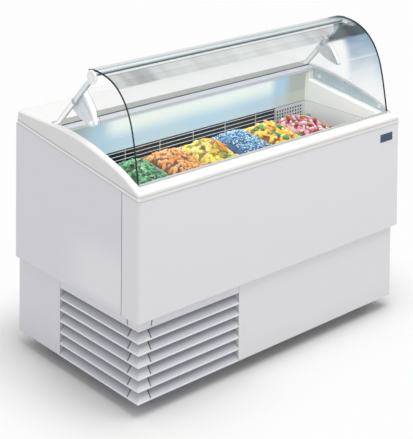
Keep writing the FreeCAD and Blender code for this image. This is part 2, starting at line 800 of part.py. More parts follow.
def castor_forks():
    """the front forks stand turned across, trailing towards the centre"""
    y = "-$castor_y"
    for side, label in ((-1, "left"), (1, "right")):
        x = f"({side})*$castor_x"
        crown = cut(box(f"{x}-18", f"{x}+18", f"{y}-16", f"{y}+16", 54, 58),
                    cyl("z", x, y, 50, "5+$clear_run", 12))
        race = cut(cyl("z", x, y, 57, 13, 3.5), cyl("z", x, y, 50, "5+$clear_run", 14))
        # two cheeks, then the strips that tie them to the crown: y from, y to, z from, z to
        arms = [side_box(side, "$castor_x-$trail_len-9", "$trail_len+17",
                         f"{y}{y0}", f"{y}{y1}", z0, z1)
                for y0, y1, z0, z1 in (("-16", "-13.5", 17, 55), ("+13.5", "+16", 17, 55),
                                       ("-16", "-12", 54, 58), ("+12", "+16", 54, 58))]
        axle = cyl("y", front_axle_x(side), f"{y}-19", "$wheel_rad", "$axle_rad", 38)
        finish(fuse(crown, race, *arms, axle), "castor_fork_front_" + label)


# (radius, place across the width) round the wheel section
WHEEL_SECTION = [
    ("$axle_rad+$clear_run", -11.5), (10, -11.5), (10, -8), ("$wheel_rad-7", -8),
    ("$wheel_rad-5", "-$wheel_wid/2"), ("$wheel_rad-2", "-$wheel_wid/2"),
    ("$wheel_rad", "-$wheel_wid/2+2.5"), ("$wheel_rad", "$wheel_wid/2-2.5"),
    ("$wheel_rad-2", "$wheel_wid/2"), ("$wheel_rad-5", "$wheel_wid/2"),
    ("$wheel_rad-7", 8), (10, 8), (10, 11.5), ("$axle_rad+$clear_run", 11.5)]


def castor_wheels():
    """front wheels turn about y, rear wheels about x"""
    about_y, about_x = Rotation(Vector(1, 0, 0), 90), Rotation(Vector(0, 1, 0), 90)
    for label, x, y, turn in (("front_left", front_axle_x(-1), "-$castor_y", about_y),
                              ("front_right", front_axle_x(1), "-$castor_y", about_y),
                              ("rear_left", "-$castor_x", "$castor_y", about_x),
                              ("rear_right", "$castor_x", "$castor_y", about_x)):
        body = revolve("castor_wheel_" + label, "yz", WHEEL_SECTION)
        body.Placement = Placement(Vector(), turn)
        place(body, x, y, "$wheel_rad")
        finish(body, "castor_wheel_" + label)


# ================================================================ machine compartment
# (radius, height) of the compressor shell
SHELL = [(0, 0), (88, 0), (88, 8), (78, 12), (84, 26), (88, 60), (88, 112), (84, 140),
         (72, 160), (50, 172), (20, 177), (0, 178)]


def compressor():
    """shell on a plate with four feet"""
    shell = revolve("compressor", "xz", SHELL)
    place(shell, "$comp_x", "$comp_y", f"{BASE_TOP}+14")
    plate = box("$comp_x-110", "$comp_x+110", "$comp_y-75", "$comp_y+75",
                f"{BASE_TOP}+12", f"{BASE_TOP}+14.5")
    feet = [cyl("z", f"$comp_x+({dx})", f"$comp_y+({dy})", BASE_TOP, 9, 12.5)
            for dx in (-98, 98) for dy in (-62, 62)]
    finish(fuse(shell, plate, *feet), "compressor")


def condenser():
    body = prism("condenser", "yz", -600, rect(-230, 50, 83, 292), 52)
    carve_grid(body, "yz", -601, range(-225, 37, 9), [88], 7, 199, 60)
    legs = [box(-598, -552, y, y + 4, BASE_TOP, 86) for y in (-226, 40)]
    finish(fuse(body, *legs), "condenser")


def fan_motor():
    """motor, its stepped end and shaft, on a two-legged stand"""
    turned = [cyl("x", x, "$fan_y", "$fan_z", rad, length)
              for x, rad, length in ((-500, 36, 70), (-506, 24, 8), (-532, 3, 30))]
    legs = [box(x, x + 4, "$fan_y-40", "$fan_y+40", BASE_TOP, "$fan_z") for x in (-490, -450)]
    finish(fuse(*turned, *legs), "fan_motor")


def fan_blades():
    """hub and five flat blades, each pitched about its own length"""
    count, pitch, root = 5, 22, 18
    thick, width = 2.0, 46.0
    blades = []
    for i in range(count):
        blade = new_object("Part::Box")
        blade.Length = thick
        blade.Width = width
        bind(blade, "Height", f"$fan_rad-{root}")
        spot = Placement(Vector(-520, DIMS["fan_y"], DIMS["fan_z"]),
                         Rotation(Vector(1, 0, 0), 360 / count * i))
        spot = spot.multiply(Placement(Vector(0, 0, root), Rotation(Vector(0, 0, 1), pitch)))
        spot = spot.multiply(Placement(Vector(-thick / 2, -width / 2, 0), Rotation()))
        blade.Placement = spot
        blades.append(blade)
    hub = cyl("x", "$fan_x-2", "$fan_y", "$fan_z", 22, 20)
    bore = cyl("x", "$fan_x-12", "$fan_y", "$fan_z", "3+$clear_run", 40)
    finish(cut(fuse(hub, *blades), bore), "fan_blades")


def pipe(corners, rad, bend=14.0):
    """round bar swept along straight runs with an arc at each corner"""
    points = [Vector(*corner) for corner in corners]
    segments = []
    start = points[0]
    for before, corner, after in zip(points, points[1:], points[2:]):
        back = (before - corner).normalize()
        onward = (after - corner).normalize()
        half = back.getAngle(onward) / 2.0
        leg = bend / math.tan(half)
        arc_start, arc_end = corner + back * leg, corner + onward * leg
        arc_mid = corner + (back + onward).normalize() * (bend / math.sin(half) - bend)
        segments.append(Part.LineSegment(start, arc_start).toShape())
        segments.append(Part.Arc(arc_start, arc_mid, arc_end).toShape())
        start = arc_end
    segments.append(Part.LineSegment(start, points[-1]).toShape())
    direction = (points[1] - points[0]).normalize()
    profile = Part.Wire([Part.makeCircle(rad, points[0], direction)])
    return Part.Wire(segments).makePipeShell([profile], True, False)


def fixed_shape(label, shapes):
    obj = doc.addObject("Part::Feature", label)
    obj.Shape = Part.makeCompound(shapes)
    finish(obj, label)


def refrigerant_pipes():
    """two bent pipes and the drier"""
    lower = [(-300, 150, 150), (-300, 250, 150), (-570, 250, 150), (-570, 60, 150)]
    upper = [(-570, 60, 260), (-570, 200, 260), (-400, 200, 260), (-400, 266, 260),
             (200, 266, 260), (200, 266, 320)]
    drier = Part.makeCylinder(10, 110, Vector(-180, 268, 190), Vector(1, 0, 0))
    fixed_shape("refrigerant_pipes", [pipe(lower, 4.0), pipe(upper, 3.0), drier])


KNOB_X, KNOB_Z = 420, 236


def electrical_box():
    """box behind the service grille, with the thermostat shaft and two switch pivots"""
    case = cut(box(300, 460, 250, 320.5, 190, 285), box(303, 457, 253, 317.5, 193, 282))
    case = fuse(case, cyl("y", KNOB_X, 317, KNOB_Z, 3, 13))
    case = cut(case, box(329, 351, 316, 322, 223, 249))
    pivots = [box(x, x + 4, 300, 319, 233, 239) for x in (329, 347)]
    finish(fuse(case, *pivots), "electrical_box")


def thermostat_knob():
    knob = cut(cyl("y", KNOB_X, 324.6, KNOB_Z, 14, 11.5),
               cyl("y", KNOB_X, 320, KNOB_Z, "3+$clear_run", 11))
    pointer = box(KNOB_X - 1.4, KNOB_X + 1.4, 335, 337.4, KNOB_Z + 1, KNOB_Z + 12)
    finish(fuse(knob, pointer), "thermostat_knob")


def main_switch():
    """rocker, hollowed to a shallow V on its rear face"""
    finish(prism("main_switch", "yz", 334, [
        (311, 228), (322, 226.5), (326.5, 227), (324, 236), (326.5, 245), (322, 245.5),
        (311, 244)], 12), "main_switch")


def power_cord():
    cord = pipe([(460, 290, 230), (500, 290, 230), (500, 328, 230), (500, 328, 20),
                 (602, 328, 20)], 4.0)
    plug = Part.makeCylinder(15, 26, Vector(600, 322, 20), Vector(1, 0, 0))
    fixed_shape("power_cord", [cord.fuse(plug)])


# ================================================================ glass, tube, struts
# (y, z) of the glass's outer face, from its top rear edge over and down the front
GLASS_OUTER = [(-39, 1082), (-66, 1086.6), (-92, 1085.8), (-137, 1078.5), (-181, 1060),
               (-210, 1038), (-232, 1014), (-249, 986.5), (-265, 950), (-276, 912),
               (-284.5, 874), (-291, 838), (-298, 799), (-304, 760)]


def front_glass():
    inner = offset_points(GLASS_OUTER, -DIMS["glass_th"])
    # square off the bottom edge
    inner[-1] = (inner[-1][0], GLASS_OUTER[-1][1])
    finish(curved_prism("front_glass", "yz", 0, [GLASS_OUTER, inner[::-1]],
                        "$glass_len", middle=True), "front_glass")


def top_tube():
    """tube with a bored plug in each end"""
    def tube_cyl(start, rad, length):
        return cyl("x", start, "$tube_y", "$tube_z", rad, length)

    tube = cut(tube_cyl("-$tube_half", "$tube_rad", "2*$tube_half"),
               tube_cyl("-$tube_half-1", "$tube_rad-$tube_wall", "2*$tube_half+2"))
    plugs = [tube_cyl(at_side(side, "$tube_half-16", 16), "$tube_rad-$tube_wall+0.2", 16)
             for side in (-1, 1)]
    bore = tube_cyl("-$tube_half-1", "$pin_rad+$clear_run", "2*$tube_half+2")
    finish(cut(fuse(tube, *plugs), bore), "top_tube")


def strut_bar_corners():
    """(y, z) of a flat bar from under the tube to the foot, where it ends level"""
    top_y, top_z, end_z = DIMS["tube_y"], 1057.0, 859.8
    run_y, run_z = DIMS["foot_y"] - top_y, DIMS["foot_z"] - top_z
    length = math.hypot(run_y, run_z)
    dir_y, dir_z = run_y / length, run_z / length
    half = DIMS["strut_wid"] / 2
    tops = [(top_y - dir_z * half * s, top_z + dir_y * half * s) for s in (1, -1)]
    ends = [(y + dir_y * (end_z - z) / dir_z, end_z) for y, z in reversed(tops)]
    return tops + ends


def struts():
    """bar with an eye plate for the tube pin and a boss for the flap pin, on a foot"""
    for side, label in ((-1, "strut_left"), (1, "strut_right")):
        bar = prism(label, "yz", at_side(side, "$strut_in", "$strut_th"),
                    strut_bar_corners(), "$strut_th")
        eye = side_cyl(side, "$strut_in", "$eye_y", "$eye_z", "$eye_rad", "$strut_th")
        boss = side_cyl(side, "$strut_in", "$flap_y", "$flap_z", 12, "$strut_th")
        foot = side_box(side, "$open_x-9", 20, 114.5, 142, 858.4, 861.4)
        strut = fuse(bar, eye, boss, foot)
        for y, z, rad in (("$tube_y", "$tube_z", "$pin_rad"),
                          ("$flap_y", "$flap_z", "$flap_pin")):
            strut = cut(strut, side_cyl(side, "$strut_in-5", y, z, f"{rad}+0.02", 20))
        finish(strut, label)


def hinge_pins():
    """on each side a tube pin, and a flap pin with two heads and a spacer"""
    outer = "$strut_in+$strut_th"
    # inner end, radius, length
    flap_pin = (("$arm_in-1", "$flap_pin", f"{outer}+2-$arm_in+1"),
                ("$arm_in-3", 7, 2.2),
                (f"{outer}+0.1", 7, 2),
                ("$arm_in+$arm_th+0.3", 8, "$strut_in-$arm_in-$arm_th-0.4"))
    pins = []
    for side in (-1, 1):
        pins.append(side_cyl(side, 603, "$tube_y", "$tube_z", "$pin_rad", f"{outer}-603"))
        pins.append(fuse(*[side_cyl(side, inner, "$flap_y", "$flap_z", rad, length)
                           for inner, rad, length in flap_pin]))
    finish(group(*pins), "hinge_pins")


def tube_end_caps():
    outer_face = num("$strut_in+$strut_th+5.1")
    caps = []
    for side in (1, -1):
        disc = side_cyl(side, "$strut_in+$strut_th+0.1", "$eye_y", "$eye_z", "$cap_rad", 5)
        caps.append(round_edges(
            disc, lambda e: near(abs(mid(e).x), outer_face) and e.Length > 100, 3.0))
    finish(group(*caps), "tube_end_caps")


# ================================================================ flap
# (y, z) of the crescent arm: front edge downwards, then lower edge rearwards and two corners
ARM_FRONT = [(2, 992), (-10, 982), (-29, 962), (-46, 941), (-60, 918), (-70, 897)]
ARM_REAR = [(-67, 890), (-47, 888.5), (-26, 892.5), (-6, 898), (15, 905.5), (36, 916.5),
            (54, 927.5)]
ARM_CORNERS = [[(62, 934.5)], [(12.6, 987)]]
# (y, z) of the two long slots in the arm
ARM_SLOTS = [[(-46.4, 928.1), (-4.4, 963.1), (-7.6, 966.9), (-49.6, 931.9)],
             [(-12.5, 912), (12.5, 930), (9.5, 934), (-15.5, 916)]]
# (y, z) of the line the pane follows along the front edge of the arms
PANE = [(8, 997), (-10, 982), (-29, 962), (-46, 941), (-60, 918), (-71, 894)]


def arm_flange(side, name):
    """flange along the arm's front edge, narrowing towards its top"""
    inner = offset_points(ARM_FRONT, -2.4)
    body = curved_prism(name, "yz", at_side(side, "$arm_in-34", 34.5),
                        [ARM_FRONT, inner[::-1]], 34.5)
    # (distance in from the arm, z) of the cutter
    cutter = [(36, 1000), (36, 886), (8, 886), (33.8, 1000)]
    carve(body, "xz", 0, [(f"({side})*($arm_in-{inset})", z) for inset, z in cutter],
          400, middle=True)
    return body


def flap_arms():
    for side, label in ((-1, "flap_arm_left"), (1, "flap_arm_right")):
        plate = curved_prism(label, "yz", at_side(side, "$arm_in", "$arm_th"),
                             [ARM_FRONT, ARM_REAR] + ARM_CORNERS, "$arm_th")
        for slot in ARM_SLOTS:
            carve(plate, "yz", at_side(side, "$arm_in-1", 6), slot, 6, rev=True)
        arm = fuse(plate, arm_flange(side, label + "_flange"))
        arm = cut(arm, side_cyl(side, "$arm_in-5", "$flap_y", "$flap_z",
                                "$flap_pin+$clear_run", 14))
        knob = side_cyl(side, "$arm_in+$arm_th-0.1", -54, 901, 8, 5)
        finish(fuse(arm, knob), label)


def flap_pane():
    """3 mm pane, 0.1 mm in front of the flanges"""
    outer, inner = offset_points(PANE, 3.1), offset_points(PANE, 0.1)
    finish(curved_prism("flap_pane", "yz", 0, [outer, inner[::-1]], "2*$flap_half",
                        middle=True), "flap_pane")


# ================================================================ badge and screws
def badge_plate():
    """on the front panel, near its right end"""
    plate = box(536, 612, f"-{PANEL_Y}-1.3", f"-{PANEL_Y}-0.1", 661, 697)
    finish(round_edges(plate, lambda e: abs(along(e).y) > 0.9, 5), "badge_plate")


def panel_screws():
    """on the rear panel and the rear service grille"""
    spots = [(x, z) for x in (-600, 600) for z in (360, 560, 780)]
    spots += [(x, z) for x in (-610, -200, 200, 610) for z in (64, 312)]
    finish(group(*[cyl("y", x, f"{PANEL_Y}+0.05", z, 4, 1.2) for x, z in spots]),
           "panel_screws")


# ================================================================ build, check, export
for build in (
        front_panel, side_panels, rear_panel, top_frame,
        worktop_trim, upper_liner, seal_strips, inner_fascias, fascia_buttons,
        inner_tank, insulation_foam, well_rear_wall, lamp_tube, evaporator_guard,
        evaporator_coil, pan_rails, pans,
        plinth_front_panel, plinth_side_panels, rear_service_grille,
        louvre_front, louvre_side, louvre_corner,
        base_frame, castor_brackets, castor_forks, castor_wheels,
        compressor, condenser, fan_motor, fan_blades, refrigerant_pipes,
        electrical_box, thermostat_knob, main_switch, power_cord,
        front_glass, top_tube, struts, hinge_pins, tube_end_caps,
        flap_arms, flap_pane, badge_plate, panel_screws):
    build()

doc.recompute()
bad = [obj.Label for obj in doc.Objects if "Invalid" in obj.State or "Error" in obj.State]
for label, obj in PARTS:
    if obj.Shape.isNull() or not obj.Shape.isValid() or not obj.Shape.Solids:
        bad.append("shape:" + label)
if bad:
    raise RuntimeError("failed objects: " + ", ".join(bad))
if len({label for label, _ in PARTS}) != len(PARTS) or len(PARTS) > 60:
    raise RuntimeError(f"piece names: {len(PARTS)}")
for label, obj in PARTS:
    obj.Shape.exportStep(f"parts/{label}.step")
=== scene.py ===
import bpy
import math
import random
import numpy as np
from mathutils import Vector, Matrix, Euler, noise


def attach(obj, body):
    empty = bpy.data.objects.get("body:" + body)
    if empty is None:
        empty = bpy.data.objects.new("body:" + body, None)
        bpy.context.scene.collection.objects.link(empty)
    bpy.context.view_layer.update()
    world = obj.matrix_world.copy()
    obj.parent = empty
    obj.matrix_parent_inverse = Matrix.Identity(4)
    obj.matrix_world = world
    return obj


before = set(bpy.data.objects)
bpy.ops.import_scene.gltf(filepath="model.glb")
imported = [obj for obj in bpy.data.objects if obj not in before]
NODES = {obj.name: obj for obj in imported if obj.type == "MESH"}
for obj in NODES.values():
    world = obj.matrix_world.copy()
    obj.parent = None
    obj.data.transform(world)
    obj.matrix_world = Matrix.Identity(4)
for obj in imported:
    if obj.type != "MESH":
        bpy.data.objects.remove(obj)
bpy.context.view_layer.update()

scene = bpy.context.scene

# ------------------------------------------------------------------ node helper


class G:
    """small builder for a node material"""

    def __init__(s, name):
        s.m = bpy.data.materials.new(name)
        s.m.use_nodes = True
        s.nt = s.m.node_tree
        s.nt.nodes.clear()
        s.out = s.nt.nodes.new("ShaderNodeOutputMaterial")
        s._obj = None

    def n(s, kind, **kw):
        nd = s.nt.nodes.new("ShaderNode" + kind)
        for k, v in kw.items():
            setattr(nd, k, v)
        return nd

    def put(s, sock, v):
        if isinstance(v, bpy.types.NodeSocket):
            s.nt.links.new(v, sock)
        elif v is not None:
            if isinstance(v, (tuple, list)) and len(v) == 3 and sock.type == "RGBA":
                v = (*v, 1.0)
            sock.default_value = v

    @property
    def pos(s):
        """the piece's own coordinates: the shared frame at rest, in metres"""
        if s._obj is None:
            s._obj = s.n("TexCoord").outputs["Object"]
        return s._obj

    def xyz(s):
        sep = s.n("SeparateXYZ")
        s.put(sep.inputs[0], s.pos)
        return sep.outputs[0], sep.outputs[1], sep.outputs[2]

    def math(s, op, a, b=None, c=None, clamp=False):
        nd = s.n("Math", operation=op, use_clamp=clamp)
        s.put(nd.inputs[0], a)
        if b is not None:
            s.put(nd.inputs[1], b)
        if c is not None:
            s.put(nd.inputs[2], c)
        return nd.outputs[0]

    def step(s, v, a, b, lo=0.0, hi=1.0, smooth=True):
        """lo at a, hi at b"""
        nd = s.n("MapRange", clamp=True)
        nd.interpolation_type = "SMOOTHSTEP" if smooth else "LINEAR"
        s.put(nd.inputs["Value"], v)
        s.put(nd.inputs["From Min"], float(a))
        s.put(nd.inputs["From Max"], float(b))
        s.put(nd.inputs["To Min"], float(lo))
        s.put(nd.inputs["To Max"], float(hi))
        return nd.outputs["Result"]

    def mix(s, fac, a, b, blend="MIX"):
        nd = s.n("Mix", data_type="RGBA", blend_type=blend)
        s.put(nd.inputs[0], fac)
        s.put(nd.inputs[6], a)
        s.put(nd.inputs[7], b)
        return nd.outputs[2]

    def ramp(s, fac, stops):
        nd = s.n("ValToRGB")
        cr = nd.color_ramp
        while len(cr.elements) < len(stops):
            cr.elements.new(0.5)
        for e, (p, c) in zip(cr.elements, stops):
            e.position = p
            e.color = (*c, 1.0) if len(c) == 3 else c
        s.put(nd.inputs[0], fac)
        return nd.outputs[0]

    def scaled(s, sx, sy, sz, rot=(0, 0, 0), vec=None):
        nd = s.n("Mapping")
        s.put(nd.inputs["Vector"], vec if vec is not None else s.pos)
        nd.inputs["Scale"].default_value = (sx, sy, sz)
        nd.inputs["Rotation"].default_value = rot
        return nd.outputs[0]

    def noise(s, scale, detail=2.0, rough=0.5, vec=None, dist=0.0):
        nd = s.n("TexNoise")
        s.put(nd.inputs["Vector"], vec if vec is not None else s.pos)
        nd.inputs["Scale"].default_value = scale
        nd.inputs["Detail"].default_value = detail
        nd.inputs["Roughness"].default_value = rough
        nd.inputs["Distortion"].default_value = dist
        return nd.outputs["Fac"]

    def voronoi(s, scale, vec=None, feature="F1", out="Distance"):
        nd = s.n("TexVoronoi", feature=feature)
        s.put(nd.inputs["Vector"], vec if vec is not None else s.pos)
        nd.inputs["Scale"].default_value = scale
        return nd.outputs[out]

    def bump(s, height, dist=0.001, strength=1.0, base=None):
        nd = s.n("Bump")
        nd.inputs["Strength"].default_value = strength
        nd.inputs["Distance"].default_value = dist
        s.put(nd.inputs["Height"], height)
        if base is not None:
            s.put(nd.inputs["Normal"], base)
        return nd.outputs[0]

    def bsdf(s, color, rough=0.5, metal=0.0, normal=None, coat=0.0, coat_rough=0.05, spec=0.5, emit=None, emit_s=None, sss=0.0,
             sss_r=(0.004, 0.002, 0.001), trans=0.0, alpha=None, ior=1.5):
        p = s.n("BsdfPrincipled")
        s.put(p.inputs["Base Color"], color)
        s.put(p.inputs["Roughness"], rough)
        s.put(p.inputs["Metallic"], metal)
        s.put(p.inputs["IOR"], ior)
        s.put(p.inputs["Coat Weight"], coat)
        s.put(p.inputs["Coat Roughness"], coat_rough)
        s.put(p.inputs["Specular IOR Level"], spec)
        if normal is not None:
            s.put(p.inputs["Normal"], normal)
        if emit is not None:
            s.put(p.inputs["Emission Color"], emit)
            s.put(p.inputs["Emission Strength"], emit_s if emit_s is not None else 1.0)
        if sss:
            s.put(p.inputs["Subsurface Weight"], sss)
            p.inputs["Subsurface Radius"].default_value = sss_r
            p.inputs["Subsurface Scale"].default_value = 1.0
        if trans:
            s.put(p.inputs["Transmission Weight"], trans)
        if alpha is not None:
            s.put(p.inputs["Alpha"], alpha)
        return p.outputs[0]

    def done(s, shader):
        s.put(s.out.inputs["Surface"], shader)
        return s.m


def low_patches_and_tone(g, color, amount=0.06, z_low=0.05, z_high=0.12):
    """darker in noisy patches near the floor, and a slow change of tone over the panel"""
    x, y, z = g.xyz()
    low = g.step(z, z_high, z_low)
    blot = g.noise(9.0, 4.0, 0.6)
    f = g.math("MULTIPLY", g.math("MULTIPLY", low, blot), amount * 2.0)
    col = g.mix(f, color, tuple(c * 0.62 for c in color))
    slow = g.step(g.noise(1.7, 2.0), 0.3, 0.7, 0.0, amount * 0.35)
    return g.mix(slow, col, tuple(c * 0.9 for c in color))


def powder_coat(name, color, rough=0.40, seam=False):
    g = G(name)
    col = low_patches_and_tone(g, color)
    if seam:
        # the folded joint between the front sheet and the side sheets
        x, y, z = g.xyz()
        gap = g.step(g.math("ABSOLUTE", g.math("ADD", y, 0.2561)), 0.0019, 0.0012)
        flank = g.math("MULTIPLY", g.step(g.math("ABSOLUTE", x), 0.648, 0.650), g.step(z, 0.30, 0.33))
        if name == "side_steel":
            # the floor throws some light up onto the lower front of the left side
            glow = g.math("MULTIPLY", g.step(y, 0.10, -0.12), g.math("MULTIPLY", g.step(z, 0.58, 0.44), g.step(z, 0.325, 0.36)))
            col = g.mix(g.math("MULTIPLY", glow, 0.80), col, (0.775, 0.770, 0.785))
        col = g.mix(g.math("MULTIPLY", g.math("MULTIPLY", gap, flank), 0.80), col, (0.09, 0.095, 0.11))
    r = g.step(g.noise(14.0, 3.0), 0.25, 0.75, rough - 0.05, rough + 0.08)
    peel = g.noise(620.0, 2.0, 0.55)
    wave = g.noise(22.0, 2.0, 0.5)
    n = g.bump(wave, 0.0010, 0.10)
    n = g.bump(peel, 0.00012, 0.6, n)
    return g.done(g.bsdf(col, r, normal=n, coat=0.12, coat_rough=0.25))


def moulding(name, color, rough=0.24, coat=0.35, grain=0.35):
    g = G(name)
    col = low_patches_and_tone(g, color, 0.04)
    scuff = g.noise(90.0, 3.0, 0.6, g.scaled(1.0, 0.15, 1.0))
    r = g.math("ADD", g.step(g.noise(20.0, 3.0), 0.25, 0.75, rough - 0.04, rough + 0.08), g.step(scuff, 0.62, 0.75, 0.0, 0.10))
    n = g.bump(g.noise(30.0, 2.0), 0.0006, 0.12)
    n = g.bump(g.noise(1500.0, 1.0), 0.00005, grain, n)
    return g.done(g.bsdf(col, r, normal=n, coat=coat, coat_rough=0.12))


def brushed(name, color, rough=0.28, axis=(1.0, 60.0, 60.0), metal=1.0, depth=0.00006):
    g = G(name)
    line = g.noise(14.0, 4.0, 0.65, g.scaled(*axis))
    fine = g.noise(55.0, 2.0, 0.6, g.scaled(*axis))
    tone = g.step(line, 0.3, 0.7, 0.0, 1.0)
    col = g.mix(tone, tuple(c * 0.88 for c in color), color)
    r = g.step(fine, 0.25, 0.75, rough - 0.07, rough + 0.10)
    n = g.bump(fine, depth, 0.7)
    n = g.bump(g.noise(12.0, 2.0), 0.0006, 0.08, n)
    return g.done(g.bsdf(col, r, metal, n))


def plastic(name, color, rough=0.45, speck=900.0):
    g = G(name)
    dust = g.step(g.noise(26.0, 4.0, 0.6), 0.45, 0.8)
    col = g.mix(g.math("MULTIPLY", dust, 0.25), color, tuple(min(1.0, c * 1.5 + 0.03) for c in color))
    r = g.step(g.noise(30.0, 3.0), 0.3, 0.7, rough - 0.08, rough + 0.1)
    n = g.bump(g.voronoi(speck), 0.00010, 0.6)
    return g.done(g.bsdf(col, r, normal=n))


# ------------------------------------------------------------------ materials
M = {}
M["white_steel"] = powder_coat("white_steel", (0.720, 0.717, 0.730), seam=True)
# side_steel: the same white coat as white_steel, painted darker and bluer as painted shade on the left side
M["side_steel"] = powder_coat("side_steel", (0.680, 0.680, 0.712), seam=True)
M["white_moulding"] = moulding("white_moulding", (0.86, 0.86, 0.835))


def facing_x(g):
    """1 where the surface looks along the length of the cabinet"""
    geo = g.n("NewGeometry")
    vt = g.n("VectorTransform", vector_type="NORMAL", convert_from="WORLD", convert_to="OBJECT")
    g.put(vt.inputs[0], geo.outputs["Normal"])
    sep = g.n("SeparateXYZ")
    g.put(sep.inputs[0], vt.outputs[0])
    return g.math("ABSOLUTE", sep.outputs[0]), sep.outputs[1], sep.outputs[2]


def from_left(g):
    """1 where the surface is looked at from the customer's left front, 0 from elsewhere"""
    geo = g.n("NewGeometry")
    look = g.n("VectorMath", operation="DOT_PRODUCT")
    g.put(look.inputs[0], geo.outputs["Incoming"])
    look.inputs[1].default_value = (-0.700, -0.664, 0.263)
    return g.step(look.outputs["Value"], 0.90, 0.97)


def frame_material():
    """the top moulding: white, painted greyer on its flanks and front face as painted shade, with a painted highlight
    along its raised band, the joint line under the band and a painted shade line over it
    """
    g = G("frame_moulding")
    x, y, z = g.xyz()
    nx_, ny_, nz_ = facing_x(g)
    white = (0.870, 0.862, 0.845)
    col = low_patches_and_tone(g, white, 0.03)
    # painted shade: the flanks facing along the cabinet are painted greyer
    flank = g.math("MULTIPLY", g.step(nx_, 0.80, 0.985), g.step(g.math("ABSOLUTE", x), 0.640, 0.6535))
    col = g.mix(g.math("MULTIPLY", flank, 0.92), col, (0.700, 0.690, 0.695))
    # painted shade on the front face
    front = g.math("MULTIPLY", g.step(ny_, -0.80, -0.985), g.step(y, -0.330, -0.340))
    col = g.mix(g.math("MULTIPLY", front, 0.90), col, (0.735, 0.722, 0.712))
    # height above the sloping seam
    seam = g.math("MULTIPLY_ADD", y, 0.092 / 0.684, 0.720 + 0.342 * 0.092 / 0.684)
    h = g.math("SUBTRACT", z, seam)
    outer = g.step(g.math("MAXIMUM", g.step(g.math("ABSOLUTE", x), 0.648, 0.650), g.step(y, -0.336, -0.338)), 0.4, 0.6)
    # the line under the band is the joint; the dark line over the band is painted shade
    groove_shade_line = g.math("MULTIPLY", g.step(h, 0.0118, 0.0126), g.step(h, 0.0158, 0.0148))
    under = g.step(h, 0.0026, 0.0014)
    lines = g.math("MULTIPLY", g.math("MAXIMUM", groove_shade_line, g.math("MULTIPLY", under, 1.15)), outer)
    # painted highlight along the middle of the band
    shine = g.math("MULTIPLY", g.math("MULTIPLY", g.step(h, 0.004, 0.006), g.step(h, 0.0112, 0.0095)), flank)
    col = g.mix(g.math("MULTIPLY", shine, 0.55), col, (0.88, 0.87, 0.86))
    col = g.mix(g.math("MULTIPLY", lines, 0.50, clamp=True), col, (0.26, 0.265, 0.29))
    scuff = g.noise(420.0, 3.0, 0.6, g.scaled(0.10, 1.0, 1.0))
    r = g.math("ADD", g.step(g.noise(5.0, 1.0), 0.2, 0.8, 0.335, 0.355), g.step(scuff, 0.62, 0.78, 0.0, 0.03))
    n = g.bump(g.noise(1300.0, 1.0), 0.00006, 0.35)
    return g.done(g.bsdf(col, r, normal=n, coat=0.12, coat_rough=0.34))


M["frame_moulding"] = frame_material()


def louvre_material():
    g = G("louvre_plastic")
    x, y, z = g.xyz()
    # height above each slat's lip, 40 mm apart, first lip 50 mm above the floor
    h = g.math("MODULO", g.math("SUBTRACT", z, 0.050), 0.040)
    band = g.step(z, 0.2895, 0.2905, smooth=False)
    blade = g.step(h, 0.006, 0.030, smooth=False)
    cornx = g.step(x, -0.5812, -0.5830, smooth=False)
    corny = g.step(y, -0.2682, -0.2700, smooth=False)
    corner = g.math("MULTIPLY", cornx, corny)
    # painted shade: each blade darkens from its lip up to the shade under the next lip, and the corner piece is painted
    # paler, with less shade
    low = g.mix(corner, (0.66, 0.665, 0.71), (0.74, 0.74, 0.765))
    high = g.mix(corner, (0.29, 0.305, 0.37), (0.52, 0.525, 0.57))
    col = g.mix(blade, low, high)
    # painted highlight: the lips are painted paler
    lip = g.step(h, 0.0066, 0.0058, smooth=False)
    col = g.mix(lip, col, (0.80, 0.80, 0.825))
    col = g.mix(band, col, (0.70, 0.700, 0.725))
    # joints between the corner piece and the straight pieces
    slant = g.math("MULTIPLY", h, 0.16)
    jx = g.step(g.math("ABSOLUTE", g.math("ADD", g.math("SUBTRACT", x, slant), 0.5835)), 0.0034, 0.0022)
    jy = g.step(g.math("ABSOLUTE", g.math("ADD", g.math("SUBTRACT", y, slant), 0.2705)), 0.0038, 0.0024)
    jx = g.math("MULTIPLY", jx, corny)
    jy = g.math("MULTIPLY", jy, cornx)
    joint = g.math("MULTIPLY", g.math("MAXIMUM", jx, jy), g.step(h, 0.0050, 0.0070))
    col = g.mix(g.math("MULTIPLY", joint, 0.85), col, (0.10, 0.11, 0.13))
    dust = g.step(g.noise(35.0, 4.0, 0.65, g.scaled(1.0, 1.0, 0.35)), 0.42, 0.75)
    col = g.mix(g.math("MULTIPLY", g.math("MULTIPLY", dust, blade), 0.30), col, (0.50, 0.49, 0.47))
    r = g.step(g.noise(24.0, 3.0), 0.3, 0.7, 0.34, 0.48)
    n = g.bump(g.noise(1100.0, 1.0), 0.00006, 0.5)
    n = g.bump(g.noise(18.0, 2.0), 0.0005, 0.10, n)
    return g.done(g.bsdf(col, r, normal=n, coat=0.15, coat_rough=0.2))


M["louvre_plastic"] = louvre_material()
M["fascia_plastic"] = moulding("fascia_plastic", (0.56, 0.67, 0.71), 0.26, 0.35)
M["button_plastic"] = moulding("button_plastic", (0.93, 0.96, 0.98), 0.22, 0.5)


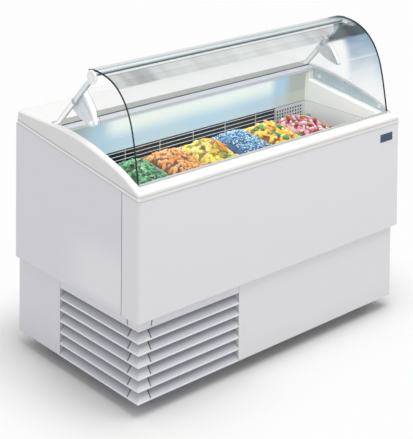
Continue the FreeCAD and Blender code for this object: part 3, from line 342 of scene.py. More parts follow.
def liner_material():
    """white liner; its inner walls glow softly in the light of the lamp"""
    g = G("liner_plastic")
    x, y, z = g.xyz()
    col = g.mix(g.step(g.noise(4.0, 2.0), 0.3, 0.7), (0.82, 0.83, 0.815), (0.86, 0.865, 0.845))
    inner = g.math("MULTIPLY", g.step(z, 0.852, 0.800), g.step(g.math("ABSOLUTE", x), 0.6135, 0.6020))
    join = g.math("MULTIPLY", g.step(z, 0.7165, 0.7150), g.step(z, 0.7128, 0.7130))
    col = g.mix(g.math("MULTIPLY", join, 0.55), col, (0.16, 0.17, 0.18))
    back = g.math("MULTIPLY", g.step(y, 0.0785, 0.0795), g.step(z, 0.834, 0.836))
    col = g.mix(g.math("MULTIPLY", back, 0.85), col, (0.56, 0.58, 0.66))
    e = g.math("MULTIPLY_ADD", inner, 0.22, 0.06)
    r = g.step(g.noise(20.0, 3.0), 0.25, 0.75, 0.44, 0.52)
    n = g.bump(g.noise(700.0, 2.0), 0.00006, 0.4)
    return g.done(g.bsdf(col, r, normal=n, coat=0.06, coat_rough=0.3, emit=(0.96, 0.97, 0.94), emit_s=e))


M["liner_plastic"] = liner_material()
M["grey_trim"] = brushed("grey_trim", (0.50, 0.515, 0.49), 0.42, (1.0, 70.0, 70.0), 0.35)


def seal_material():
    """dark gasket behind the opening, pale translucent strip under the glass"""
    g = G("seal_rubber")
    x, y, z = g.xyz()
    front = g.step(y, -0.05, -0.10)
    col = g.mix(front, (0.030, 0.034, 0.042), (0.62, 0.64, 0.63))
    n = g.bump(g.noise(700.0, 2.0), 0.00008, 0.6)
    r = g.step(g.noise(40.0, 2.0), 0.3, 0.7, 0.45, 0.62)
    return g.done(g.bsdf(col, r, normal=n))


M["black_rubber"] = seal_material()
M["stainless"] = brushed("stainless", (0.60, 0.625, 0.65), 0.26, (60.0, 1.2, 60.0))


def tank_material():
    """pale brushed tank wall, with a painted glow near its top for the lamp's light and painted shade in the rear duct
    """
    g = G("tank_steel")
    x, y, z = g.xyz()
    line = g.noise(14.0, 4.0, 0.65, g.scaled(1.0, 60.0, 60.0))
    col = g.mix(line, (0.70, 0.71, 0.69), (0.84, 0.85, 0.83))
    duct_shade = g.step(y, 0.1000, 0.1035)
    # painted shade: the rear duct is painted near black
    col = g.mix(g.math("MULTIPLY", duct_shade, 0.93), col, (0.035, 0.045, 0.055))
    # painted glow near the top of the wall, none in the duct
    e = g.math("MULTIPLY", g.math("MULTIPLY", g.step(z, 0.560, 0.712), 0.26), g.math("SUBTRACT", 1.0, duct_shade))
    n = g.bump(line, 0.00006, 0.5)
    return g.done(g.bsdf(col, 0.45, 0.10, n, emit=(0.93, 0.95, 0.92), emit_s=e))


M["tank_steel"] = tank_material()
M["wire_steel"] = brushed("wire_steel", (0.86, 0.90, 0.94), 0.34, (8.0, 8.0, 8.0), 0.15)
M["zinc_steel"] = brushed("zinc_steel", (0.52, 0.53, 0.54), 0.36, (9.0, 9.0, 9.0))
M["condenser_fin"] = brushed("condenser_fin", (0.40, 0.42, 0.45), 0.4, (40.0, 40.0, 1.0))
M["castor_rubber"] = plastic("castor_rubber", (0.045, 0.046, 0.05), 0.6)
M["black_paint"] = powder_coat("black_paint", (0.018, 0.018, 0.020), 0.30)
M["black_plastic"] = plastic("black_plastic", (0.030, 0.031, 0.034), 0.42)
M["copper"] = brushed("copper", (0.72, 0.34, 0.20), 0.30, (12.0, 12.0, 12.0))


def tube_material():
    """satin tube, its shading painted in: painted highlight over its top and face, painted shade along its underside,
    and a faint painted glow
    """
    g = G("tube_painted_shading")
    nx_, ny_, nz_ = facing_x(g)
    t = g.math("ADD", g.math("MULTIPLY", nz_, 0.941), g.math("MULTIPLY", ny_, 0.339))
    # painted light: the tone follows which way the surface faces, dark underneath and pale on top
    col = g.ramp(g.step(t, -1.0, 1.0, smooth=False),
                 [(0.0, (0.02, 0.035, 0.04)), (0.20, (0.035, 0.055, 0.06)), (0.30, (0.18, 0.24, 0.26)), (0.40, (0.48, 0.58, 0.61)),
                  (0.50, (0.70, 0.81, 0.84)), (0.66, (0.86, 0.92, 0.93)), (0.84, (0.93, 0.95, 0.95)), (0.93, (0.55, 0.58, 0.60)), (1.0, (0.16, 0.18, 0.20))])
    line = g.noise(30.0, 4.0, 0.6, g.scaled(0.8, 60.0, 60.0))
    col = g.mix(g.step(line, 0.45, 0.80, 0.0, 0.10), col, (0.45, 0.50, 0.52))
    n = g.bump(line, 0.00005, 0.5)
    # a faint painted glow in the tube's own colour
    return g.done(g.bsdf(col, 0.34, 0.25, n, coat=0.15, coat_rough=0.2, emit=col, emit_s=0.16))


M["tube_painted_shading"] = tube_material()


def coil_material():
    """dark finned coil: fine upright fins with a bluish sheen and some frost"""
    g = G("coil_fins")
    x, y, z = g.xyz()
    fins = g.math("PINGPONG", g.math("MULTIPLY", x, 1.0), 0.0022)
    f = g.step(fins, 0.0, 0.0022)
    base = g.mix(f, (0.010, 0.016, 0.022), (0.045, 0.075, 0.100))
    frost = g.step(g.noise(22.0, 4.0, 0.6, g.scaled(1.0, 1.0, 3.0)), 0.52, 0.72)
    col = g.mix(g.math("MULTIPLY", frost, 0.16), base, (0.30, 0.42, 0.48))
    n = g.bump(f, 0.0012, 0.8)
    return g.done(g.bsdf(col, 0.42, 0.4, n))


M["coil_fins"] = coil_material()


def foam_material():
    g = G("foam")
    v = g.voronoi(420.0)
    col = g.mix(v, (0.70, 0.62, 0.40), (0.86, 0.80, 0.60))
    n = g.bump(v, 0.0006, 0.8)
    return g.done(g.bsdf(col, 0.85, normal=n))


M["foam"] = foam_material()


def lamp_wall(g):
    """colour seen on the lit rear wall: whitest at the lamp, blue below it and at its ends, unlit beyond"""
    x, y, z = g.xyz()
    t = g.step(z, 0.713, 0.845, smooth=False)
    zs = ((0.717, (0.50, 0.67, 0.755)), (0.735, (0.455, 0.630, 0.735)), (0.750, (0.455, 0.645, 0.780)), (0.760, (0.495, 0.670, 0.785)),
          (0.768, (0.57, 0.74, 0.81)), (0.776, (0.62, 0.785, 0.81)), (0.786, (0.70, 0.85, 0.85)), (0.796, (0.79, 0.88, 0.87)),
          (0.806, (0.835, 0.91, 0.875)), (0.816, (0.845, 0.92, 0.90)), (0.826, (0.77, 0.90, 0.90)), (0.834, (0.61, 0.72, 0.76)),
          (0.842, (0.60, 0.70, 0.74)))
    col = g.ramp(t, [((q - 0.713) / 0.132, c) for q, c in zs])
    low = g.step(z, 0.762, 0.758, smooth=False)
    soft = g.math("MULTIPLY_ADD", g.math("SUBTRACT", g.noise(5.0, 2.0), 0.5), 0.05, 0.0)
    xs = g.math("ADD", x, soft)
    col = g.mix(g.step(xs, 0.385, 0.445), col, g.mix(low, (0.405, 0.61, 0.75), (0.475, 0.565, 0.60)))
    col = g.mix(g.step(xs, 0.470, 0.525), col, g.mix(low, (0.39, 0.435, 0.40), (0.455, 0.50, 0.42)))
    col = g.mix(g.step(xs, -0.385, -0.470), col, (0.42, 0.585, 0.70))
    col = g.mix(g.step(xs, -0.480, -0.550), col, (0.38, 0.43, 0.45))
    return col


def lit(g, col, base, k=0.58, gain=0.975):
    """share of the seen colour that the surface gives off itself"""
    sc = g.mix(1.0, col, (gain, gain, gain), "MULTIPLY")
    return g.mix(1.0, sc, tuple(k * c for c in base), "SUBTRACT")


def lamp_material():
    """opal panel lit from behind"""
    g = G("lamp_opal")
    base = (0.22, 0.24, 0.24)
    e = lit(g, lamp_wall(g), base)
    ripple = g.noise(240.0, 2.0, 0.5, g.scaled(0.08, 1.0, 1.0))
    n = g.bump(ripple, 0.0003, 0.25)
    r = g.step(g.noise(30.0, 3.0), 0.3, 0.7, 0.34, 0.48)
    return g.done(g.bsdf(base, r, normal=n, emit=e, emit_s=1.0, coat=0.1))


M["lamp_opal"] = lamp_material()


def tube_lamp_material():
    g = G("lamp_phosphor")
    x, y, z = g.xyz()
    ends = g.math("GREATER_THAN", g.math("ABSOLUTE", x), 0.455)
    col = g.mix(ends, (0.92, 0.98, 1.0), (0.50, 0.51, 0.52))
    e = g.math("SUBTRACT", 1.0, ends)
    r = g.step(g.noise(60.0, 2.0), 0.3, 0.7, 0.20, 0.35)
    return g.done(g.bsdf(col, r, emit=(0.85, 0.95, 1.0), emit_s=g.math("MULTIPLY", e, 1.2)))


M["lamp_phosphor"] = tube_lamp_material()


def rear_panel_material():
    """pale blue wall under the lamp; the lamp's light on it is painted in as a glow"""
    g = G("rear_wall_painted_glow")
    base = (0.22, 0.24, 0.25)
    # painted light: the wall gives off the lit wall's colour though it is no lamp
    e = lit(g, lamp_wall(g), base)
    drip = g.noise(26.0, 3.0, 0.6, g.scaled(1.0, 1.0, 0.12))
    r = g.step(drip, 0.3, 0.7, 0.32, 0.48)
    n = g.bump(g.noise(300.0, 2.0), 0.00008, 0.5)
    return g.done(g.bsdf(base, r, normal=n, emit=e, emit_s=1.0, coat=0.1))


M["rear_wall_painted_glow"] = rear_panel_material()


def clear_sheet(name, tint, edge, edge_fac, gloss=0.9, front=False, veil=0.012):
    """thin clear sheet: straight-through view with a reflection, a dark cut edge; the front sheet also carries painted
    reflections, seen only from the customer's left front
    """
    g = G(name)
    x, y, z = g.xyz()
    geo = g.n("NewGeometry")
    sep = g.n("SeparateXYZ")
    # the cut ends face along X; the bottom and top edges face along Z
    to_obj = g.n("VectorTransform", vector_type="NORMAL", convert_from="WORLD", convert_to="OBJECT")
    g.put(to_obj.inputs[0], geo.outputs["True Normal"])
    g.put(sep.inputs[0], to_obj.outputs[0])
    side = g.math("GREATER_THAN", g.math("ABSOLUTE", sep.outputs[0]), 0.9)
    if front:
        side = g.math("MAXIMUM", side, g.math("GREATER_THAN", g.math("ABSOLUTE", x), 0.6222))
    lw = g.n("LayerWeight")
    lw.inputs["Blend"].default_value = 0.5
    facing = lw.outputs["Facing"]
    graz = g.math("POWER", facing, 3.0)
    col = g.mix(g.math("MULTIPLY", graz, 0.60, clamp=True), tint, tuple(c * 0.58 for c in (0.90, 0.98, 1.0)))
    if front:
        # standing reflections of the room in the upper right of the curved sheet
        seen = from_left(g)
        slant = g.math("ADD", x, g.math("MULTIPLY", g.math("SUBTRACT", z, 1.056), -4.2))
        dark = g.math("MULTIPLY", g.step(z, 1.038, 1.048), g.step(slant, 0.425, 0.440))
        room = g.noise(9.0, 3.0, 0.6, g.scaled(1.0, 1.0, 6.0))
        # height of the point in the plane square to the customer's sight line
        sight = g.math("ADD", g.math("MULTIPLY", z, 0.941), g.math("MULTIPLY", y, 0.339))
        deep = g.step(x, 0.500, 0.560, 0.74, 1.0)
        ex = g.math("MULTIPLY", g.math("SUBTRACT", x, 0.592), 1.0 / 0.028)
        ez = g.math("MULTIPLY", g.math("SUBTRACT", sight, 0.9759), 1.0 / 0.0245)
        ring = g.math("POWER", g.math("ADD", g.math("MULTIPLY", ex, ex), g.math("MULTIPLY", ez, ez)), 0.5)
        cap = g.step(ring, 1.05, 0.90)
        tube = g.math("MULTIPLY", g.step(sight, 0.9742, 0.9756), g.step(x, 0.590, 0.572))
        clear = g.math("SUBTRACT", 1.0, g.math("MULTIPLY", g.math("MAXIMUM", cap, tube), 0.80))
        deep = g.math("MULTIPLY", deep, clear)
        dk = g.math("MULTIPLY", g.math("MULTIPLY", dark, deep), g.step(room, 0.25, 0.75, 0.86, 0.98))
        col = g.mix(g.math("MULTIPLY", dk, seen), col, (0.075, 0.130, 0.160))
        lean = g.math("ADD", x, g.math("MULTIPLY", g.math("SUBTRACT", z, 1.030), -0.42))
        mid_x = g.step(lean, 0.455, 0.505)
        bars = g.ramp(g.step(z, 0.800, 1.050, smooth=False),
                      [(0.0, (0, 0, 0)), (0.32, (0.05, 0.05, 0.05)), (0.52, (0.17, 0.17, 0.17)), (0.68, (0.38, 0.38, 0.38)), (0.70, (0.18, 0.18, 0.18)),
                       (0.715, (0.40, 0.40, 0.40)), (0.80, (0.52, 0.52, 0.52)), (0.88, (0.60, 0.60, 0.60)), (0.93, (0.68, 0.68, 0.68)), (0.968, (0.72, 0.72, 0.72)),
                       (0.985, (0, 0, 0))])
        mid = g.math("MULTIPLY", mid_x, g.math("MULTIPLY", bars, g.step(room, 0.2, 0.8, 0.85, 1.1)))
        col = g.mix(g.math("MULTIPLY", mid, seen), col, (0.36, 0.50, 0.62))
        # painted reflection, bluish, near the right end of the sheet
        edge_reflection = g.math("MULTIPLY", g.step(x, 0.560, 0.622), g.step(z, 0.80, 0.96))
        col = g.mix(g.math("MULTIPLY", g.math("MULTIPLY", edge_reflection, seen), 0.22), col, (0.42, 0.60, 0.70))
        # painted reflection: a greyer haze band along the crown of the sheet, fading to the middle
        band = g.math("MULTIPLY", g.step(z, 1.0455, 1.0485), g.step(sight, 0.9684, 0.9672))
        hair = g.math("MULTIPLY", g.step(sight, 0.9666, 0.9674), g.step(sight, 0.9690, 0.9682))
        col = g.mix(g.math("MULTIPLY", g.math("MULTIPLY", hair, seen), 0.55), col, (0.25, 0.28, 0.29))
        fade = g.math("ADD", g.step(x, -0.05, -0.60, 0.18, 0.44), g.step(x, 0.05, 0.50, 0.0, 0.22))
        streak = g.step(g.noise(11.0, 3.0, 0.6, g.scaled(1.0, 0.1, 0.1)), 0.35, 0.70, 0.6, 1.25)
        col = g.mix(g.math("MULTIPLY", g.math("MULTIPLY", band, seen), g.math("MULTIPLY", fade, streak)), col, (0.42, 0.45, 0.45))
    smear = g.noise(16.0, 4.0, 0.6, g.scaled(1.0, 1.0, 0.3))
    rough = g.step(smear, 0.35, 0.75, 0.015, 0.035)
    tr = g.n("BsdfTransparent")
    g.put(tr.inputs["Color"], col)
    gl = g.n("BsdfGlossy")
    gl.inputs["Color"].default_value = (gloss, gloss, gloss, 1.0)
    g.put(gl.inputs["Roughness"], rough)
    wob = g.bump(g.noise(3.0, 1.0), 0.002, 0.012)
    g.put(gl.inputs["Normal"], wob)
    fres = g.math("MULTIPLY_ADD", g.math("POWER", facing, 4.0), 0.50, veil)
    sheet = g.n("MixShader")
    g.put(sheet.inputs[0], fres)
    g.put(sheet.inputs[1], tr.outputs[0])
    g.put(sheet.inputs[2], gl.outputs[0])
    # cut edge
    streak = g.step(g.noise(200.0, 2.0), 0.3, 0.7, 0.6, 1.0)
    ecol = g.mix(streak, tuple(c * 0.5 for c in edge), edge)
    eb = g.bsdf(ecol, 0.25, coat=0.10, coat_rough=0.05, spec=0.2)
    mixe = g.n("MixShader")
    g.put(mixe.inputs[0], g.math("MULTIPLY", side, edge_fac))
    g.put(mixe.inputs[1], sheet.outputs[0])
    g.put(mixe.inputs[2], eb)
    # light passes, so that the glass throws no heavy shade
    lp = g.n("LightPath")
    free = g.n("BsdfTransparent")
    free.inputs["Color"].default_value = (0.96, 0.98, 0.975, 1.0)
    fin = g.n("MixShader")
    g.put(fin.inputs[0], lp.outputs["Is Shadow Ray"])
    g.put(fin.inputs[1], mixe.outputs[0])
    g.put(fin.inputs[2], free.outputs[0])
    return g.done(fin.outputs[0])


M["front_glass"] = clear_sheet("front_glass", (0.985, 0.993, 0.990), (0.006, 0.020, 0.023), 1.0, front=True)
M["clear_acrylic"] = clear_sheet("clear_acrylic", (0.985, 0.988, 0.988), (0.55, 0.60, 0.60), 0.8)


def strut_material():
    """bright anodised bar, whiter below the flap pivot, with painted shade along its edges below the tube and a painted
    glow
    """
    g = G("strut_finish")
    x, y, z = g.xyz()
    up = g.step(z, 0.958, 0.964)
    line = g.noise(40.0, 3.0, 0.6, g.scaled(20.0, 1.0, 1.0))
    low = g.mix(line, (0.90, 0.92, 0.91), (0.95, 0.96, 0.95))
    top = g.mix(line, (0.55, 0.63, 0.67), (0.70, 0.77, 0.80))
    col = g.mix(up, low, top)
    w = g.math("ABSOLUTE", g.math("ADD", g.math("MULTIPLY", g.math("ADD", y, 0.066), 0.727), g.math("MULTIPLY", g.math("SUBTRACT", z, 1.057), 0.686)))
    # painted shade along both edges of the bar, below the tube
    rim = g.math("MULTIPLY", g.step(w, 0.0060, 0.0076), g.step(z, 1.040, 1.030))
    col = g.mix(g.math("MULTIPLY", rim, 0.72), col, (0.13, 0.15, 0.17))
    r = g.step(g.noise(80.0, 3.0), 0.3, 0.7, 0.26, 0.42)
    n = g.bump(line, 0.00008, 0.6)
    # painted glow: the bar gives off light, more on the right strut's upper part seen from the customer's left front
    far = g.math("MULTIPLY", g.math("MULTIPLY", g.step(x, 0.0, 0.1), g.step(z, 0.985, 1.020)), from_left(g))
    return g.done(g.bsdf(col, r, g.math("MULTIPLY", up, 0.35), n, coat=0.2, emit=(0.95, 0.97, 0.97), emit_s=g.math("MULTIPLY_ADD", far, 0.75, 0.10)))


M["strut_finish"] = strut_material()


def cap_material():
    """white moulded cap with a shallow ring and a painted glow, stronger on the right cap seen from the customer's left
    front
    """
    g = G("cap_moulding")
    x, y, z = g.xyz()
    dy = g.math("SUBTRACT", y, -0.072)
    dz = g.math("SUBTRACT", z, 1.063)
    rr = g.math("POWER", g.math("ADD", g.math("MULTIPLY", dy, dy), g.math("MULTIPLY", dz, dz)), 0.5)
    ring = g.math("MULTIPLY", g.step(rr, 0.0125, 0.0140), g.step(rr, 0.0172, 0.0158))
    col = g.mix(g.step(g.noise(30.0, 2.0), 0.3, 0.7), (0.84, 0.85, 0.84), (0.89, 0.90, 0.89))
    col = g.mix(g.math("MULTIPLY", ring, 0.28), col, (0.36, 0.42, 0.45))
    # painted glow on the cap
    far = g.math("MULTIPLY", g.step(x, 0.0, 0.1), from_left(g))
    n = g.bump(g.math("ADD", ring, g.noise(900.0, 1.0)), 0.0001, 0.5)
    r = g.step(g.noise(40.0, 3.0), 0.3, 0.7, 0.22, 0.32)
    return g.done(g.bsdf(col, r, normal=n, coat=0.3, emit=col, emit_s=g.math("MULTIPLY_ADD", far, 0.20, 0.04)))


M["cap_moulding"] = cap_material()


def arm_material():
    """pale moulded arm: the plate's outer face painted blue-grey as painted shade, lighter flange, slight sheen and a
    faint painted glow
    """
    g = G("arm_moulding")
    x, y, z = g.xyz()
    ax = g.math("ABSOLUTE", x)
    # painted shade: the plate's outer face is painted blue-grey
    plate = g.step(ax, 0.6172, 0.6176, smooth=False)
    col = g.mix(plate, (0.90, 0.91, 0.92), (0.64, 0.67, 0.72))
    knob = g.step(ax, 0.6216, 0.6218, smooth=False)
    col = g.mix(knob, col, (0.92, 0.92, 0.93))
    r = g.step(g.noise(60.0, 3.0), 0.3, 0.7, 0.22, 0.36)
    n = g.bump(g.noise(900.0, 1.0), 0.00006, 0.5)
    # faint painted glow
    return g.done(g.bsdf(col, r, normal=n, coat=0.3, emit=(0.95, 0.96, 0.98), emit_s=0.08))


M["arm_moulding"] = arm_material()


def badge_material():
    """plain brushed plate with a darker field and a bright rim, no lettering"""
    g = G("badge_plain")
    x, y, z = g.xyz()
    bx = g.math("SUBTRACT", 0.038, g.math("ABSOLUTE", g.math("SUBTRACT", x, 0.574)))
    bz = g.math("SUBTRACT", 0.018, g.math("ABSOLUTE", g.math("SUBTRACT", z, 0.679)))
    edge = g.math("MINIMUM", bx, bz)
    inner = g.step(edge, 0.0022, 0.0030)
    line = g.noise(70.0, 3.0, 0.6, g.scaled(1.0, 1.0, 40.0))
    face = g.mix(line, (0.020, 0.034, 0.075), (0.055, 0.085, 0.155))
    col = g.mix(inner, (0.72, 0.75, 0.78), face)
    n = g.bump(g.math("ADD", inner, g.math("MULTIPLY", line, 0.3)), 0.0002, 0.8)
    return g.done(g.bsdf(col, 0.32, 0.55, n, coat=0.3))


M["badge_plain"] = badge_material()


def wheel_material():
    """grey tyre, two dark greys mixed by noise; no paler hub"""
    g = G("wheel_two_tone")
    # distance from the wheel's own centre is not known here, so the tone changes with noise only
    tex = g.noise(120.0, 3.0, 0.6)
    col = g.mix(tex, (0.05, 0.052, 0.058), (0.10, 0.10, 0.11))
    n = g.bump(g.noise(400.0, 2.0), 0.0002, 0.5)
    return g.done(g.bsdf(col, 0.55, normal=n))


M["wheel_two_tone"] = wheel_material()

ASSIGN = {
    "white_steel": ["front_panel", "plinth_front_panel", "rear_panel", "rear_service_grille", "right_side_panel", "plinth_right_panel"],
    "side_steel": ["left_side_panel", "plinth_left_panel"],
    "frame_moulding": ["top_frame"],
    "cap_moulding": ["tube_end_caps"],
    "liner_plastic": ["upper_liner"],
    "louvre_plastic": ["louvre_front", "louvre_side", "louvre_corner"],
    "fascia_plastic": ["inner_fascia_left", "inner_fascia_right"],
    "button_plastic": ["fascia_buttons"],
    "grey_trim": ["worktop_trim"],
    "black_rubber": ["seal_strips"],
    "stainless": ["pan_rails"] + ["pan_%d" % i for i in range(1, 7)],
    "tank_steel": ["inner_tank"],
    "wire_steel": ["evaporator_guard"],
    "coil_fins": ["evaporator_coil"],
    "condenser_fin": ["condenser"],
    "tube_painted_shading": ["top_tube"],
    "strut_finish": ["strut_left", "strut_right"],
    "arm_moulding": ["flap_arm_left", "flap_arm_right"],
    "zinc_steel": ["hinge_pins", "panel_screws", "castor_brackets", "castor_fork_front_left", "castor_fork_front_right", "base_frame"],
    "wheel_two_tone": ["castor_wheel_front_left", "castor_wheel_front_right", "castor_wheel_rear_left", "castor_wheel_rear_right"],
    "black_paint": ["compressor", "fan_motor"],
    "black_plastic": ["fan_blades", "electrical_box", "thermostat_knob", "main_switch", "power_cord"],
    "copper": ["refrigerant_pipes"],
    "front_glass": ["front_glass"],
    "clear_acrylic": ["flap_pane"],
    "badge_plain": ["badge_plate"],
    "foam": ["insulation_foam"],
    "lamp_opal": ["lamp_diffuser"],
    "lamp_phosphor": ["lamp_tube"],
    "rear_wall_painted_glow": ["rear_inner_panel"],
}
for mname, nodes in ASSIGN.items():
    for nn in nodes:
        o = NODES[nn]
        o.data.materials.clear()
        o.data.materials.append(M[mname])
left_out = [n for n in NODES if not any(n in v for v in ASSIGN.values())]
if left_out:
    raise RuntimeError("no material for " + ", ".join(left_out))

# ------------------------------------------------------------------ ice cream
PITCH, MID_Y, RIM = 0.166, -0.105, 0.668


class Heap:
    """collects faces with a colour per vertex into one mesh"""

    def __init__(s):
        s.v, s.f, s.c = [], [], []

    def add(s, verts, faces, cols):
        k = len(s.v)
        s.v += [tuple(p) for p in verts]
        s.f += [tuple(k + i for i in f) for f in faces]
        s.c += [tuple(c) for c in cols]

    def make(s, name, material, body, smooth=True):
        me = bpy.data.meshes.new(name)
        me.from_pydata(s.v, [], s.f)
        me.update()
        at = me.color_attributes.new("Col", "FLOAT_COLOR", "POINT")
        at.data.foreach_set("color", np.array([(*c[:3], 1.0) for c in s.c], np.float32).ravel())
        if smooth:
            me.polygons.foreach_set("use_smooth", [True] * len(me.polygons))
        o = bpy.data.objects.new(name, me)
        scene.collection.objects.link(o)
        me.materials.append(material)
        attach(o, body)
        return o


def ico(sub):
    import bmesh
    bm = bmesh.new()
    bmesh.ops.create_icosphere(bm, subdivisions=sub, radius=1.0)
    bm.verts.ensure_lookup_table()
    v = [x.co.copy() for x in bm.verts]
    f = [[q.index for q in p.verts] for p in bm.faces]
    bm.free()
    return v, f


ICO = {1: ico(1), 2: ico(2), 3: ico(3)}


def blob(h, centre, radii, rot, col, seed=0.0, sub=2, rough=0.18, shade=0.35, pinch=0.0):
    v, f = ICO[sub]
    R = Euler(rot).to_matrix()
    vs, cs = [], []
    for p in v:
        k = 1.0 + rough * noise.noise(p * 1.6 + Vector((seed, seed * 0.7, -seed)))
        q = Vector((p.x * radii[0], p.y * radii[1], p.z * radii[2])) * k
        if pinch:
            w = 1.0 - pinch * (p.x * 0.5 + 0.5)
            q.y *= w
            q.z *= w
        vs.append(R @ q + Vector(centre))
        d = 1.0 - shade * max(0.0, -p.z)
        d *= 1.0 + 0.12 * noise.noise(p * 4.0 + Vector((seed, 0, 0)))
        cs.append([c * d for c in col])
    h.add(vs, f, cs)


def crescent(h, pts, wide, rind, flesh):
    """slice of fruit laid along a curve: rind on one side, flesh on the other, pointed ends"""
    n, m = 22, 10
    P = []
    for i in range(n + 1):
        t = i / n * (len(pts) - 1)
        k = min(int(t), len(pts) - 2)
        f = t - k
        p0, p1, p2, p3 = pts[max(k - 1, 0)], pts[k], pts[k + 1], pts[min(k + 2, len(pts) - 1)]
        P.append(0.5 * ((2 * p1) + (p2 - p0) * f + (2 * p0 - 5 * p1 + 4 * p2 - p3) * f * f + (3 * p1 - p0 - 3 * p2 + p3) * f ** 3))
    vs, cs, fs = [], [], []
    for i, p in enumerate(P):
        tg = (P[min(i + 1, n)] - P[max(i - 1, 0)]).normalized()
        side = tg.cross(Vector((0, 0, 1))).normalized()
        upv = side.cross(tg)
        w = wide * max(0.10, math.sin(math.pi * (0.03 + 0.94 * i / n))) ** 0.7
        for j in range(m):
            b = 2 * math.pi * j / m
            vs.append(p + side * (w * math.cos(b)) + upv * (w * 0.75 * math.sin(b)))
            out = 0.5 - 0.5 * math.cos(b)
            k = 0.95 + 0.2 * noise.noise(vs[-1] * 260.0)
            cs.append([k * (rind[c] * out + flesh[c] * (1 - out)) for c in range(3)])
    for i in range(n):
        for j in range(m):
            fs.append((i * m + j, (i + 1) * m + j, (i + 1) * m + (j + 1) % m, i * m + (j + 1) % m))
    fs.append(tuple(range(m)))
    fs.append(tuple(n * m + j for j in range(m))[::-1])
    h.add(vs, fs, cs)


def leaf(h, centre, length, width, rot, col, curl=0.35):
    n, m = 9, 4
    Rm = Euler(rot).to_matrix()
    top, bot, cs = [], [], []
    for i in range(n + 1):
        t = i / n
        w = width * 0.5 * math.sin(math.pi * (0.04 + 0.92 * t)) ** 0.75
        for j in range(m + 1):
            u = j / m * 2 - 1
            x = (t - 0.5) * length
            z = -curl * length * (t - 0.5) ** 2 + abs(u) * width * 0.16
            top.append(Rm @ Vector((x, u * w, z + 0.0006)) + Vector(centre))
            bot.append(Rm @ Vector((x, u * w, z - 0.0006)) + Vector(centre))
            k = 1.25 if j == m // 2 else 0.9 + 0.2 * ((i * 7 + j * 3) % 5) / 5.0
            cs.append([c * k for c in col])
    fs = []
    W = m + 1
    N = (n + 1) * W
    for i in range(n):
        for j in range(m):
            a = i * W + j
            fs.append((a, a + 1, a + 1 + W, a + W))
            fs.append((N + a + W, N + a + 1 + W, N + a + 1, N + a))
    rim = [j for j in range(W)] + [i * W + m for i in range(1, n + 1)] + [n * W + j for j in range(m - 1, -1, -1)] + \
          [i * W for i in range(n - 1, 0, -1)]
    for a, b in zip(rim, rim[1:] + rim[:1]):
        fs.append((b, a, N + a, N + b))
    # painted shade: the underside copy is painted darker
    h.add(top + bot, fs, cs + [[c * 0.7 for c in q] for q in cs])


def crown(u, y, peak, base=0.6695):
    """height of the smooth mound; u across, y along: the crest is near the rear and slopes to the front"""
    ky = np.array([-0.277, -0.262, -0.225, -0.154, -0.100, -0.060, -0.035, -0.012, 0.010, 0.030, 0.048, 0.067])
    kz = np.array([0.02, 0.16, 0.30, 0.50, 0.74, 0.93, 1.00, 0.97, 0.80, 0.52, 0.24, 0.02])
    a = np.clip(1 - np.abs(u) ** 2.7, 0, 1) ** 0.52
    b = np.interp(y, ky, kz)
    for _ in range(3):
        b[:, 1:-1] = 0.25 * b[:, :-2] + 0.5 * b[:, 1:-1] + 0.25 * b[:, 2:]
    return base + (peak - base) * a * b


